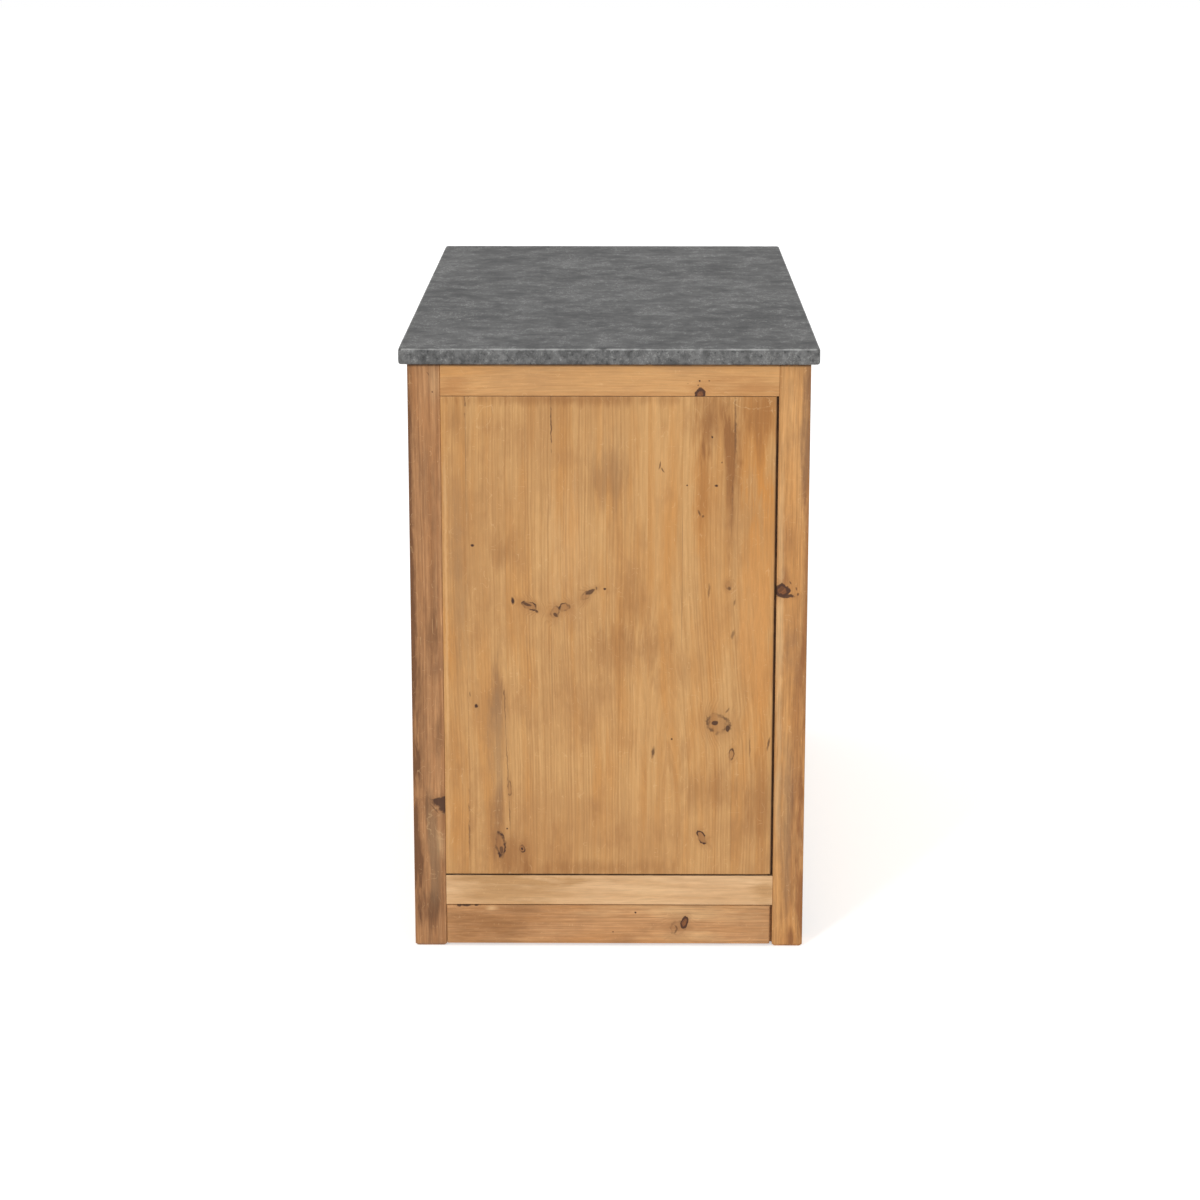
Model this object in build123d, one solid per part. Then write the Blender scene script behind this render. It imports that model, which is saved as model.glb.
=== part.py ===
# Kitchen base cabinet: pine frame, flush end panels, stone worktop, two drawers over two doors.
#
# Millimetres. +Z is up, the front faces -Y, and left and right are as seen from the front.
# The origin is on the floor under the middle of the worktop.
# The right half is modelled, and the left half is its mirror image in the plane X = 0.

import os

from build123d import *

# Worktop
worktop_length = 1200.0
worktop_depth = 600.0
worktop_thickness = 23.0
worktop_corner_radius = 7.0
worktop_top_edge = 1.2
worktop_bottom_edge = 2.0
overhang = 12.0
total_height = 900.0

# Posts
post_width = 48.0
front_post_depth = 47.0
back_post_depth = 45.0
post_edge = 1.2
foot_edge = 4.0

# Heights of the frame, from the floor up
plinth_clearance = 4.5
plinth_top = 64.0
bottom_rail_bottom = 65.0
bottom_rail_top = 111.0
drawer_rail_bottom = 655.0
drawer_rail_top = 690.0
top_rail_bottom = 830.0

# Rails, muntins and their joints
frame_thickness = 26.0
muntin_width = 48.0
rail_edge = 0.6
tenon_thickness = 8.0
tenon_length = 25.0
tenon_shoulder = 8.0
muntin_tenon_length = 12.0

# End panels and plinths, tongued into grooves as wide as the tenons
panel_thickness = 20.0
panel_hairline = 0.4
panel_bottom_gap = 1.5
expansion_gap = 3.5
panel_edge = 1.4
tongue_length = 7.0
groove_depth = 9.0

# Back boards, lying in a rebate
back_board_count = 10
back_board_thickness = 12.0
back_rebate = 12.0
board_tongue = 5.0
board_tongue_thickness = 4.0
board_groove_spare = 0.6
board_v_joint = 1.5

# Inside
floor_thickness = 18.0
floor_bearing = 6.0
partition_thickness = 20.0
partition_housing = 5.0
shelf_bottom = 372.0
shelf_thickness = 18.0
shelf_setback = 30.0
shelf_play = 1.0
batten_size = 20.0
back_play = 4.0

# Doors
door_gap = 2.0
door_thickness = 22.0
door_stile_width = 58.0
door_top_rail_height = 58.0
door_bottom_rail_height = 66.0
door_tenon_length = 36.0
door_panel_recess = 6.0
door_panel_thickness = 12.0
door_edge = 1.0
door_knob_below_top = 110.0

# Butt hinges: the barrel is half let in, so the pin lies on the front plane, in the gap's middle
hinge_height = 64.0
hinge_end_distance = 58.0
hinge_knuckle_count = 3
hinge_barrel_radius = 3.0
hinge_barrel_clearance = 0.35
hinge_pin_radius = 1.6
hinge_running_clearance = 0.05
hinge_knuckle_gap = 0.3
hinge_leaf_thickness = 1.6
hinge_leaf_gap = 0.4
hinge_leaf_depth = 20.0

# Magnetic catches
catch_length = 36.0
catch_depth = 17.0
catch_height = 14.0
catch_pole_height = 1.6
catch_pole_spacing = 4.5
catch_pole_forward = 0.8
catch_from_lock_edge = 14.0
strike_length = 32.0
strike_height = 9.0
strike_thickness = 1.2

# Drawers, running on side battens in grooves
drawer_front_thickness = 22.0
drawer_gap = 2.0
drawer_side_thickness = 15.0
drawer_side_bottom = 702.0
drawer_side_top = 806.0
drawer_box_end = 212.0
drawer_back_thickness = 14.0
drawer_bottom_thickness = 6.0
drawer_bottom_above_edge = 8.0
drawer_bottom_groove = 6.0
drawer_front_lap = 7.0
tail_count = 3
tail_share = 0.78
tail_slope = 1.0 / 7.0
runner_height = 16.0
runner_groove_depth = 8.0
runner_side_clearance = 0.5
runner_top_clearance = 0.2
runner_bottom_clearance = 0.6

# Cast iron mushroom knobs on a rosette: radii, and heights above the front plane
knob_stud_radius = 3.0
knob_stud_length = 15.0
knob_rosette_radius = 11.0
knob_rosette_edge = 1.6
knob_rosette_height = 3.6
knob_neck_radius = 5.0
knob_neck_top = 7.5
knob_head_radius = 15.0
knob_rim_bottom = 12.2
knob_rim_top = 13.8
knob_crown_radius = 10.5
knob_crown_height = 17.8
knob_flat_radius = 4.0
knob_projection = 20.0

# Planes that the dimensions above fix
side = worktop_length / 2 - overhang
front = -(worktop_depth / 2 - overhang)
back = -front
body_top = total_height - worktop_thickness
post_inner_side = side - post_width
front_post_back = front + front_post_depth
back_post_front = back - back_post_depth
frame_back = front + frame_thickness
back_frame_front = back - frame_thickness
end_frame_inner = side - frame_thickness
panel_inner = side - panel_thickness
muntin_side = muntin_width / 2
partition_side = partition_thickness / 2
floor_bottom = bottom_rail_top - floor_thickness
back_boards_front = back - back_board_thickness
tenon_inset = (frame_thickness - tenon_thickness) / 2
end_tenon = (end_frame_inner + tenon_inset, side - tenon_inset)
front_tenon = (front + tenon_inset, frame_back - tenon_inset)
back_tenon = (back_frame_front + tenon_inset, back - tenon_inset)

same_place = 0.02  # two edges nearer than this along an axis share a plane

parts = {}


# Small helpers


def block(x, y, z):
    """A box between the low and high values of each axis."""
    size = [high - low for low, high in (x, y, z)]
    middle = [(high + low) / 2 for low, high in (x, y, z)]
    return Pos(*middle) * Box(*size)


def grown(span, low, high=None):
    """A span made longer at its low end and its high end."""
    return (span[0] - low, span[1] + (low if high is None else high))


def centred(middle, size):
    """The span of a size about its middle."""
    return (middle - size / 2, middle + size / 2)


def edges_at(shape, direction, **planes):
    """The straight edges along an axis that lie on every named plane, such as y=front."""
    found = shape.edges().filter_by(direction)
    for letter, value in planes.items():
        place = getattr(Axis, letter.upper())
        found = found.filter_by_position(place, *centred(value, same_place))
    return found


def eased(shape, size, *edge_sets):
    """The shape with a small flat planed on each set of edges."""
    for edges in edge_sets:
        shape = chamfer(edges, size)
    return shape


def flipped(shape):
    """The left half's copy of a piece of the right half."""
    return mirror(shape, about=Plane.YZ)


def on_both_sides(name, shape):
    """Stores a piece of the right half, and its mirror image for the left half."""
    parts[name.format("right")] = shape
    parts[name.format("left")] = flipped(shape)


def group(*shapes):
    """Separate solids that share a node."""
    return Compound([solid for shape in shapes for solid in shape.solids()])


def mirrored_pair(*shapes):
    """The given solids and their mirror images as one group."""
    return group(*shapes, *map(flipped, shapes))


# Frame


def cross_rail(y, z, tenon_y, shown_y):
    """A rail along X from post to post, with a tenon at each end and its shown edges eased."""
    body = block((-post_inner_side, post_inner_side), y, z)
    body = eased(body, rail_edge, edges_at(body, Axis.X, y=shown_y))
    reach = grown((-post_inner_side, post_inner_side), tenon_length)
    return body + block(reach, tenon_y, grown(z, -tenon_shoulder))


def end_rail(z):
    """A rail along Y in the right end frame, with a tenon into each post."""
    span = (front_post_back, back_post_front)
    body = block((end_frame_inner, side), span, z)
    body = eased(body, rail_edge, edges_at(body, Axis.Y, x=side))
    return body + block(end_tenon, grown(span, tenon_length), grown(z, -tenon_shoulder))


def muntin(z):
    """An upright between two front rails, with a stub tenon at each end."""
    body = block((-muntin_side, muntin_side), (front, frame_back), z)
    body = eased(body, rail_edge, edges_at(body, Axis.Z, y=front))
    tenon_x = grown((-muntin_side, muntin_side), -tenon_shoulder)
    return body + block(tenon_x, front_tenon, grown(z, muntin_tenon_length))


def end_panel():
    """The flush end panel: its face stands between the posts, and a tongue runs all round it."""
    y = (front_post_back + panel_hairline, back_post_front - expansion_gap)
    z = (bottom_rail_top + panel_bottom_gap, top_rail_bottom - panel_hairline)
    body = block((panel_inner, side), y, z)
    body = chamfer(body.faces().sort_by(Axis.X)[-1].edges(), panel_edge)
    tongue_y = grown((front_post_back, back_post_front), tongue_length)
    tongue_z = grown((bottom_rail_top, top_rail_bottom), tongue_length)
    return body + block(end_tenon, tongue_y, tongue_z)


def end_panel_groove():
    """The groove round the end panel's opening, which is deeper than the tongue."""
    y = grown((front_post_back, back_post_front), groove_depth)
    return block(end_tenon, y, grown((bottom_rail_top, top_rail_bottom), groove_depth))


def end_plinth():
    """The board under the end's bottom rail, tongued into both posts."""
    y = (front_post_back + panel_hairline, back_post_front - expansion_gap)
    body = block((panel_inner, side), y, (plinth_clearance, plinth_top))
    body = eased(body, panel_edge, edges_at(body, Axis.Y, x=side), edges_at(body, Axis.Z, x=side))
    tongue_y = grown((front_post_back, back_post_front), tongue_length)
    return body + block(end_tenon, tongue_y, (plinth_clearance, plinth_top))


def front_plinth():
    """The board under the front's bottom rail, tongued into both front posts."""
    x = grown((-post_inner_side, post_inner_side), -panel_hairline)
    body = block(x, (front, front + panel_thickness), (plinth_clearance, plinth_top))
    body = eased(body, panel_edge, edges_at(body, Axis.X, y=front))
    tongue_x = grown((-post_inner_side, post_inner_side), tongue_length)
    return body + block(tongue_x, front_tenon, (plinth_clearance, plinth_top))


def post(y):
    """A square post with eased edges, and more easing round its foot."""
    blank = block((post_inner_side, side), y, (0, body_top))
    blank = chamfer(blank.faces().sort_by(Axis.Z)[0].edges(), foot_edge)
    uprights = blank.edges().filter_by(Axis.Z)
    return chamfer(uprights, post_edge)


def plinth_grooves():
    """Grooves in the right posts for the tongues of both plinths."""
    z = (plinth_clearance, plinth_top)
    ends = block(end_tenon, grown((front_post_back, back_post_front), groove_depth), z)
    fronts = block((post_inner_side, post_inner_side + groove_depth), front_tenon, z)
    return ends + fronts


def make_frame():
    """The posts, rails, muntins, end panels and plinths, joined by mortises, grooves and rebates."""
    top_z = (top_rail_bottom, body_top)
    bottom_z = (bottom_rail_bottom, bottom_rail_top)
    drawer_rail_z = (drawer_rail_bottom, drawer_rail_top)
    upper_muntin = muntin((drawer_rail_top, top_rail_bottom))
    lower_muntin = muntin((bottom_rail_top, drawer_rail_bottom))

    front_top = cross_rail((front, frame_back), top_z, front_tenon, front) - upper_muntin
    drawer_rail = cross_rail((front, front_post_back), drawer_rail_z, front_tenon, front)
    drawer_rail = drawer_rail - upper_muntin - lower_muntin
    front_bottom = cross_rail((front, frame_back), bottom_z, front_tenon, front) - lower_muntin
    back_top = cross_rail((back_frame_front, back), top_z, back_tenon, back)
    back_bottom = cross_rail((back_frame_front, back), bottom_z, back_tenon, back)
    end_top = end_rail(top_z)
    end_bottom = end_rail(bottom_z)

    front_bottom -= floor_blank()
    back_bottom -= floor_blank()
    end_bottom -= floor_blank()
    back_top -= back_boards_space()
    back_bottom -= back_boards_space()
    end_top -= end_panel_groove()
    end_bottom -= end_panel_groove()

    front_post = post((front, front_post_back))
    for joined in (front_top, drawer_rail, front_bottom, end_top, end_bottom):
        front_post -= joined
    front_post = front_post - end_panel_groove() - plinth_grooves()
    for z in hinge_heights():
        front_post -= hinge_recess(z)
    back_post = post((back_post_front, back))
    for joined in (back_top, back_bottom, end_top, end_bottom):
        back_post -= joined
    back_post = back_post - end_panel_groove() - plinth_grooves() - back_boards_space()

    parts["front_top_rail"] = front_top
    parts["front_drawer_rail"] = drawer_rail
    parts["front_bottom_rail"] = front_bottom
    parts["front_upper_muntin"] = upper_muntin
    parts["front_lower_muntin"] = lower_muntin
    parts["front_plinth"] = front_plinth()
    parts["back_top_rail"] = back_top
    parts["back_bottom_rail"] = back_bottom
    on_both_sides("front_{}_post", front_post)
    on_both_sides("back_{}_post", back_post)
    on_both_sides("{}_end_top_rail", end_top)
    on_both_sides("{}_end_bottom_rail", end_bottom)
    on_both_sides("{}_end_panel", end_panel())
    on_both_sides("{}_end_plinth", end_plinth())


# Worktop


def worktop():
    """The stone slab, with rounded corners and eased edges."""
    slab = block(
        (-worktop_length / 2, worktop_length / 2),
        (-worktop_depth / 2, worktop_depth / 2),
        (body_top, total_height),
    )
    slab = fillet(slab.edges().filter_by(Axis.Z), worktop_corner_radius)
    slab = chamfer(slab.faces().sort_by(Axis.Z)[-1].edges(), worktop_top_edge)
    return chamfer(slab.faces().sort_by(Axis.Z)[0].edges(), worktop_bottom_edge)


# Back, floor, partition and shelves


def back_boards_span():
    """The rebate's reach along X and Z."""
    x = grown((-post_inner_side, post_inner_side), back_rebate)
    return x, grown((bottom_rail_top, top_rail_bottom), back_rebate)


def back_boards_space():
    """The rebate that the back boards lie in."""
    x, z = back_boards_span()
    return block(x, (back_boards_front, back), z)


def back_board(x0, x1, grooved, tongued, z):
    """One upright board: a groove on its left edge, a tongue on its right, and V-joints inside."""
    y0, y1 = back_boards_front, back
    middle = (y0 + y1) / 2
    low, high = middle - board_tongue_thickness / 2, middle + board_tongue_thickness / 2
    v = board_v_joint
    left = [(x0, y1), (x0, y0)]
    if grooved:
        deep = x0 + board_tongue + board_groove_spare
        left = [(x0, y1), (x0, high), (deep, high), (deep, low), (x0, low), (x0, y0 + v), (x0 + v, y0)]
    right = [(x1, y0), (x1, y1)]
    if tongued:
        out = x1 + board_tongue
        right = [(x1 - v, y0), (x1, y0 + v), (x1, low), (out, low), (out, high), (x1, high), (x1, y1)]
    return Pos(0, 0, z[0]) * extrude(Polygon(*left, *right), z[1] - z[0])


def back_boards():
    """The row of tongued boards that closes the back."""
    x, z = back_boards_span()
    pitch = (x[1] - x[0]) / back_board_count
    boards = []
    for i in range(back_board_count):
        left = x[0] + i * pitch
        board = back_board(left, left + pitch, i > 0, i < back_board_count - 1, z)
        boards += board.solids()
    return Compound(boards)


def floor_blank():
    """The floor before its partition housing: it bears on the four bottom rails, round the posts."""
    end = end_frame_inner + floor_bearing
    reach = -frame_back + floor_bearing
    z = (floor_bottom, bottom_rail_top)
    long_way = block((-post_inner_side, post_inner_side), (-reach, reach), z)
    wide_way = block((-end, end), (front_post_back, back_post_front), z)
    return long_way + wide_way


def centre_partition():
    """The upright board between the two bays, cut round the drawer rail and the back rails."""
    x = (-partition_side, partition_side)
    board = block(x, (frame_back, back_boards_front), (bottom_rail_top, body_top))
    drawer_rail = block(x, (frame_back, front_post_back), (drawer_rail_bottom, drawer_rail_top))
    top_rail = block(x, (back_frame_front, back_boards_front), (top_rail_bottom, body_top))
    foot = block(x, (frame_back, back_frame_front), (bottom_rail_top - partition_housing, bottom_rail_top))
    return board - drawer_rail - top_rail + foot


def shelf():
    """A shelf for the right bay, cut round both posts."""
    z = (shelf_bottom, shelf_bottom + shelf_thickness)
    y = (front + shelf_setback, back_boards_front - back_play)
    inner = partition_side + shelf_play
    between = (front_post_back + shelf_play, back_post_front - shelf_play)
    narrow = block((inner, post_inner_side - shelf_play), y, z)
    wide = block((inner, panel_inner - shelf_play), between, z)
    board = narrow + wide
    return chamfer(edges_at(board, Axis.X, y=y[0]), door_edge)


def shelf_battens():
    """The battens under the right shelf, on the partition and on the end panel."""
    z = (shelf_bottom - batten_size, shelf_bottom)
    inner_y = (frame_back, back_boards_front - back_play)
    inner = block((partition_side, partition_side + batten_size), inner_y, z)
    outer = block((panel_inner - batten_size, panel_inner), (front_post_back, back_post_front), z)
    return inner, outer


def make_inside():
    """Everything fixed behind the frame."""
    partition = centre_partition()
    parts["back_boards"] = back_boards()
    parts["floor_panel"] = floor_blank() - partition
    parts["centre_partition"] = partition
    on_both_sides("{}_shelf", shelf())
    parts["shelf_battens"] = mirrored_pair(*shelf_battens())


# Hinges


def hinge_axis():
    """The X and Y of the right door's hinge pins."""
    return post_inner_side - door_gap / 2, front


def hinge_heights():
    """The middle heights of the two hinges of a door."""
    low = bottom_rail_top + door_gap + hinge_end_distance + hinge_height / 2
    high = drawer_rail_bottom - door_gap - hinge_end_distance - hinge_height / 2
    return low, high


def hinge_plates(z):
    """The spans of the frame leaf and the door leaf of the hinge at height z."""
    x, y = hinge_axis()
    near, far = hinge_leaf_gap / 2, hinge_leaf_gap / 2 + hinge_leaf_thickness
    plate_y = (y, y + hinge_leaf_depth)
    plate_z = centred(z, hinge_height)
    return ((x + near, x + far), plate_y, plate_z), ((x - far, x - near), plate_y, plate_z)


def hinge_barrel_space(z, height):
    """The round space that the barrel turns in."""
    x, y = hinge_axis()
    return Pos(x, y, z) * Cylinder(hinge_barrel_radius + hinge_barrel_clearance, height)


def hinge_recess(z):
    """The shallow beds of both leaves, and the barrel's hollow, in the post's and the door's edges."""
    frame_plate, door_plate = hinge_plates(z)
    hollow_height = hinge_height + 2 * hinge_barrel_clearance
    return block(*frame_plate) + block(*door_plate) + hinge_barrel_space(z, hollow_height)


def hinge_leaf(plate, z, first_knuckle, bore_radius):
    """A leaf: its plate, every second knuckle from the first named, and the bore through them."""
    x, y = hinge_axis()
    pitch = hinge_height / hinge_knuckle_count
    bottom = z - hinge_height / 2
    neck_y = (y, y + hinge_barrel_radius + hinge_barrel_clearance)
    leaf = block(*plate) - hinge_barrel_space(z, 2 * hinge_height)
    for i in range(first_knuckle, hinge_knuckle_count, 2):
        low = bottom + i * pitch + (hinge_knuckle_gap / 2 if i else 0)
        high = bottom + (i + 1) * pitch - (hinge_knuckle_gap / 2 if i < hinge_knuckle_count - 1 else 0)
        barrel = Pos(x, y, (low + high) / 2) * Cylinder(hinge_barrel_radius, high - low)
        leaf = leaf + barrel + block(plate[0], neck_y, (low, high))
    return leaf - Pos(x, y, z) * Cylinder(bore_radius, 2 * hinge_height)


def hinge_pin(z):
    """The fast pin, riveted flush with the barrel's ends."""
    x, y = hinge_axis()
    return Pos(x, y, z) * Cylinder(hinge_pin_radius, hinge_height)


def make_hinges():
    """Two butt hinges on each side: frame leaves and pins on the posts, door leaves on the doors."""
    frame_leaves, door_leaves, pins = [], [], []
    for z in hinge_heights():
        frame_plate, door_plate = hinge_plates(z)
        frame_leaves.append(hinge_leaf(frame_plate, z, 0, hinge_pin_radius))
        door_leaves.append(hinge_leaf(door_plate, z, 1, hinge_pin_radius + hinge_running_clearance))
        pins.append(hinge_pin(z))
    parts["hinge_frame_leaves"] = mirrored_pair(*frame_leaves)
    parts["hinge_pins"] = mirrored_pair(*pins)
    on_both_sides("{}_hinge_door_leaves", group(*door_leaves))


# Knobs


def knob(x, z):
    """A turned knob on a rosette, with its stud in the wood behind the front plane."""
    outline = Polyline(
        (0, -knob_stud_length),
        (knob_stud_radius, -knob_stud_length),
        (knob_stud_radius, 0),
        (knob_rosette_radius, 0),
        (knob_rosette_radius, knob_rosette_edge),
        (knob_neck_radius, knob_rosette_height),
        (knob_neck_radius, knob_neck_top),
        (knob_head_radius, knob_rim_bottom),
        (knob_head_radius, knob_rim_top),
        (knob_crown_radius, knob_crown_height),
        (knob_flat_radius, knob_projection),
        (0, knob_projection),
        close=True,
    )
    return Pos(x, front, z) * Rot(0, 0, 180) * revolve(make_face(outline), Axis.Y)


# Doors


def door_spans():
    """The right door's reach along X, Y and Z."""
    x = (muntin_side + door_gap, post_inner_side - door_gap)
    return x, (front, front + door_thickness), (bottom_rail_top + door_gap, drawer_rail_bottom - door_gap)


def door_opening():
    """The X and Z spans inside the door's frame, and the Y span of its tenons and grooves."""
    x, y, z = door_spans()
    inner_z = (z[0] + door_bottom_rail_height, z[1] - door_top_rail_height)
    groove_y = (front + door_panel_recess, front + door_panel_recess + tenon_thickness)
    return grown(x, -door_stile_width), groove_y, inner_z


def door_rail(z):
    """A rail of the door, with a tenon into each stile."""
    inner_x, groove_y, _ = door_opening()
    body = block(inner_x, door_spans()[1], z)
    body = eased(body, rail_edge, edges_at(body, Axis.X, y=front))
    return body + block(grown(inner_x, door_tenon_length), groove_y, grown(z, -tenon_shoulder))


def door_stile(x, rails):
    """A stile of the door, with the mortises of its rails."""
    _, y, z = door_spans()
    body = block(x, y, z)
    body = eased(body, rail_edge, edges_at(body, Axis.Z, y=front))
    for rail in rails:
        body -= rail
    return body


def door_panel():
    """The door's sunk panel: a tongue all round its front, and a field that fills the back."""
    inner_x, groove_y, inner_z = door_opening()
    tongue = block(grown(inner_x, tongue_length), groove_y, grown(inner_z, tongue_length))
    field_y = (groove_y[1], front + door_panel_recess + door_panel_thickness)
    return tongue + block(grown(inner_x, -panel_hairline), field_y, grown(inner_z, -panel_hairline))


def door_strike(x_middle):
    """The catch's strike plate, on the back of the door's top rail."""
    y = door_spans()[1][1]
    z = centred(drawer_rail_bottom - catch_height / 2, strike_height)
    plate = block(centred(x_middle, strike_length), (y, y + strike_thickness), z)
    return chamfer(plate.edges().filter_by(Axis.Y), strike_thickness)


def door_catch(x_middle):
    """The magnetic catch under the drawer rail, whose two pole plates meet the strike."""
    pole_face = door_spans()[1][1] + strike_thickness
    body_y = (pole_face + catch_pole_forward, pole_face + catch_depth)
    body_z = (drawer_rail_bottom - catch_height, drawer_rail_bottom)
    catch = block(centred(x_middle, catch_length), body_y, body_z)
    catch = chamfer(catch.edges().filter_by(Axis.Y), catch_pole_forward)
    for way in (-1, 1):
        z = drawer_rail_bottom - catch_height / 2 + way * catch_pole_spacing / 2
        plate_z = centred(z, catch_pole_height)
        catch += block(centred(x_middle, strike_length), (pole_face, body_y[0]), plate_z)
    return catch


def make_doors():
    """The framed doors, with their hinge beds, knobs and strike plates, and the catches."""
    x, _, z = door_spans()
    inner_x, groove_y, inner_z = door_opening()
    groove = block(grown(inner_x, groove_depth), groove_y, grown(inner_z, groove_depth))
    bottom_rail = door_rail((z[0], inner_z[0]))
    top_rail = door_rail((inner_z[1], z[1]))
    lock_stile = door_stile((x[0], inner_x[0]), (bottom_rail, top_rail))
    hinge_stile = door_stile((inner_x[1], x[1]), (bottom_rail, top_rail))
    for height in hinge_heights():
        hinge_stile -= hinge_recess(height)
    door_knob = knob((x[0] + inner_x[0]) / 2, z[1] - door_knob_below_top)
    catch_middle = x[0] + catch_from_lock_edge + catch_length / 2

    on_both_sides("{}_door_hinge_stile", hinge_stile - groove)
    on_both_sides("{}_door_lock_stile", lock_stile - groove - door_knob)
    on_both_sides("{}_door_bottom_rail", bottom_rail - groove)
    on_both_sides("{}_door_top_rail", top_rail - groove)
    on_both_sides("{}_door_panel", door_panel())
    on_both_sides("{}_door_knob", door_knob)
    on_both_sides("{}_door_strike", door_strike(catch_middle))
    parts["door_catches"] = mirrored_pair(door_catch(catch_middle))


# Drawers


def tails(y_base, y_tip, x, z):
    """Dovetails from y_base to y_tip, evenly spaced over a span of z and as thick as a span of x."""
    pitch = (z[1] - z[0]) / tail_count
    tip = pitch * tail_share / 2
    base = tip - abs(y_tip - y_base) * tail_slope
    shapes = Part()
    for i in range(tail_count):
        middle = z[0] + (i + 0.5) * pitch
        outline = [
            (y_base, middle - base),
            (y_tip, middle - tip),
            (y_tip, middle + tip),
            (y_base, middle + base),
        ]
        face = Plane.YZ.offset(x[0]) * make_face(Polyline(*outline, close=True))
        shapes += extrude(face, dir=(1, 0, 0), amount=x[1] - x[0])
    return shapes


def drawer_side(x, front_back, bottom_top):
    """A drawer side with lapped dovetails at the front and through dovetails at the back."""
    box_back = drawer_box_end - drawer_back_thickness
    body = block(x, (front_back, box_back), (drawer_side_bottom, drawer_side_top))
    under_back = block(x, (box_back, drawer_box_end), (drawer_side_bottom, bottom_top))
    lap_depth = drawer_front_thickness - drawer_front_lap
    front_tails = tails(front_back, front_back - lap_depth, x, (drawer_side_bottom, drawer_side_top))
    back_tails = tails(box_back, drawer_box_end, x, (bottom_top, drawer_side_top))
    return body + under_back + front_tails + back_tails


def runner_middle(bottom_top):
    """The height of the runners: on the middle tail of the back, so that the groove cuts no pin."""
    return (bottom_top + drawer_side_top) / 2


def make_drawers():
    """A dovetailed drawer box, its bottom in grooves, its knob, and the runners in its sides."""
    x = (muntin_side + drawer_gap, post_inner_side - drawer_gap)
    front_back = front + drawer_front_thickness
    bottom_z = (
        drawer_side_bottom + drawer_bottom_above_edge,
        drawer_side_bottom + drawer_bottom_above_edge + drawer_bottom_thickness,
    )
    inner_side_x = (x[0], x[0] + drawer_side_thickness)
    outer_side_x = (x[1] - drawer_side_thickness, x[1])
    inner_side = drawer_side(inner_side_x, front_back, bottom_z[1])
    outer_side = drawer_side(outer_side_x, front_back, bottom_z[1])

    bottom_x = grown((inner_side_x[1], outer_side_x[0]), drawer_bottom_groove)
    bottom = block(bottom_x, (front_back - drawer_bottom_groove, drawer_box_end), bottom_z)
    face_z = (drawer_rail_top + drawer_gap, top_rail_bottom - drawer_gap)
    face = block(x, (front, front_back), face_z)
    face = chamfer(face.faces().sort_by(Axis.Y)[0].edges(), door_edge)
    drawer_knob = knob((x[0] + x[1]) / 2, (face_z[0] + face_z[1]) / 2)
    back_y = (drawer_box_end - drawer_back_thickness, drawer_box_end)
    drawer_back = block(x, back_y, (bottom_z[1], drawer_side_top))

    middle = runner_middle(bottom_z[1])
    runner_z = centred(middle, runner_height)
    groove_z = grown(runner_z, runner_bottom_clearance, runner_top_clearance)
    groove_y = (front_back, drawer_box_end)
    inner_groove = block((x[0], x[0] + runner_groove_depth), groove_y, groove_z)
    outer_groove = block((x[1] - runner_groove_depth, x[1]), groove_y, groove_z)

    on_both_sides("{}_drawer_front", face - inner_side - outer_side - bottom - drawer_knob)
    on_both_sides("{}_drawer_back", drawer_back - inner_side - outer_side)
    on_both_sides("{}_drawer_inner_side", inner_side - bottom - inner_groove)
    on_both_sides("{}_drawer_outer_side", outer_side - bottom - outer_groove)
    on_both_sides("{}_drawer_bottom", bottom)
    on_both_sides("{}_drawer_knob", drawer_knob)

    runner_reach = runner_groove_depth - runner_side_clearance
    inner_x = (partition_side, x[0] + runner_reach)
    outer_x = (x[1] - runner_reach, post_inner_side)
    inner_runner = block(inner_x, (frame_back, back_frame_front), runner_z)
    outer_runner = block(outer_x, (front_back, back_frame_front), runner_z)
    parts["drawer_runners"] = mirrored_pair(inner_runner, outer_runner)


parts["worktop_slab"] = worktop()
make_frame()
make_inside()
make_hinges()
make_doors()
make_drawers()

os.makedirs("parts", exist_ok=True)
for name, shape in parts.items():
    export_step(shape, f"parts/{name}.step")
print(f"{len(parts)} parts written")
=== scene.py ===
# Kitchen base cabinet: its looks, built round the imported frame.
#
# Metres. +Z is up and the front faces -Y. The photograph shows the right end, at +X.

import math
import random

import bmesh
import bpy
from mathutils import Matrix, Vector, noise


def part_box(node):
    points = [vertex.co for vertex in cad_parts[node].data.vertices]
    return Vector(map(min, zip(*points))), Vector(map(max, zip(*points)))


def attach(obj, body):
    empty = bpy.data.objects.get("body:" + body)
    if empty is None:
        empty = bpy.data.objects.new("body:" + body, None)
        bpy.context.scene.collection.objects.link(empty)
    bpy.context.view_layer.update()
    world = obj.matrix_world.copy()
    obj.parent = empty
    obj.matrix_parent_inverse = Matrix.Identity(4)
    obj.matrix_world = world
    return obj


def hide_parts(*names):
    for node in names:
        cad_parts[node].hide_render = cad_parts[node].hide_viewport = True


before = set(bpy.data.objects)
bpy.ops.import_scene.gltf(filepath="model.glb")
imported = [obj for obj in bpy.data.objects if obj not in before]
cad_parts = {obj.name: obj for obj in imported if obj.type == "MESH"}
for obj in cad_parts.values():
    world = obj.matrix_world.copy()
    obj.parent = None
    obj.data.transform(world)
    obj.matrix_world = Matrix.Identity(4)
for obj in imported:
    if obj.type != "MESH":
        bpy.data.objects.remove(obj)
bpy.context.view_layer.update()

mm = 0.001
axes = "xyz"

# Camera: it stands level with the middle of the object's depth and looks down at it
camera_place = (4.863, 0.0207, 1.565)
camera_pitch = 13.6
camera_turn = -0.45
camera_lens = 91.0

# Light
sky_light = 0.7
floor_glow = 0.5

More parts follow.
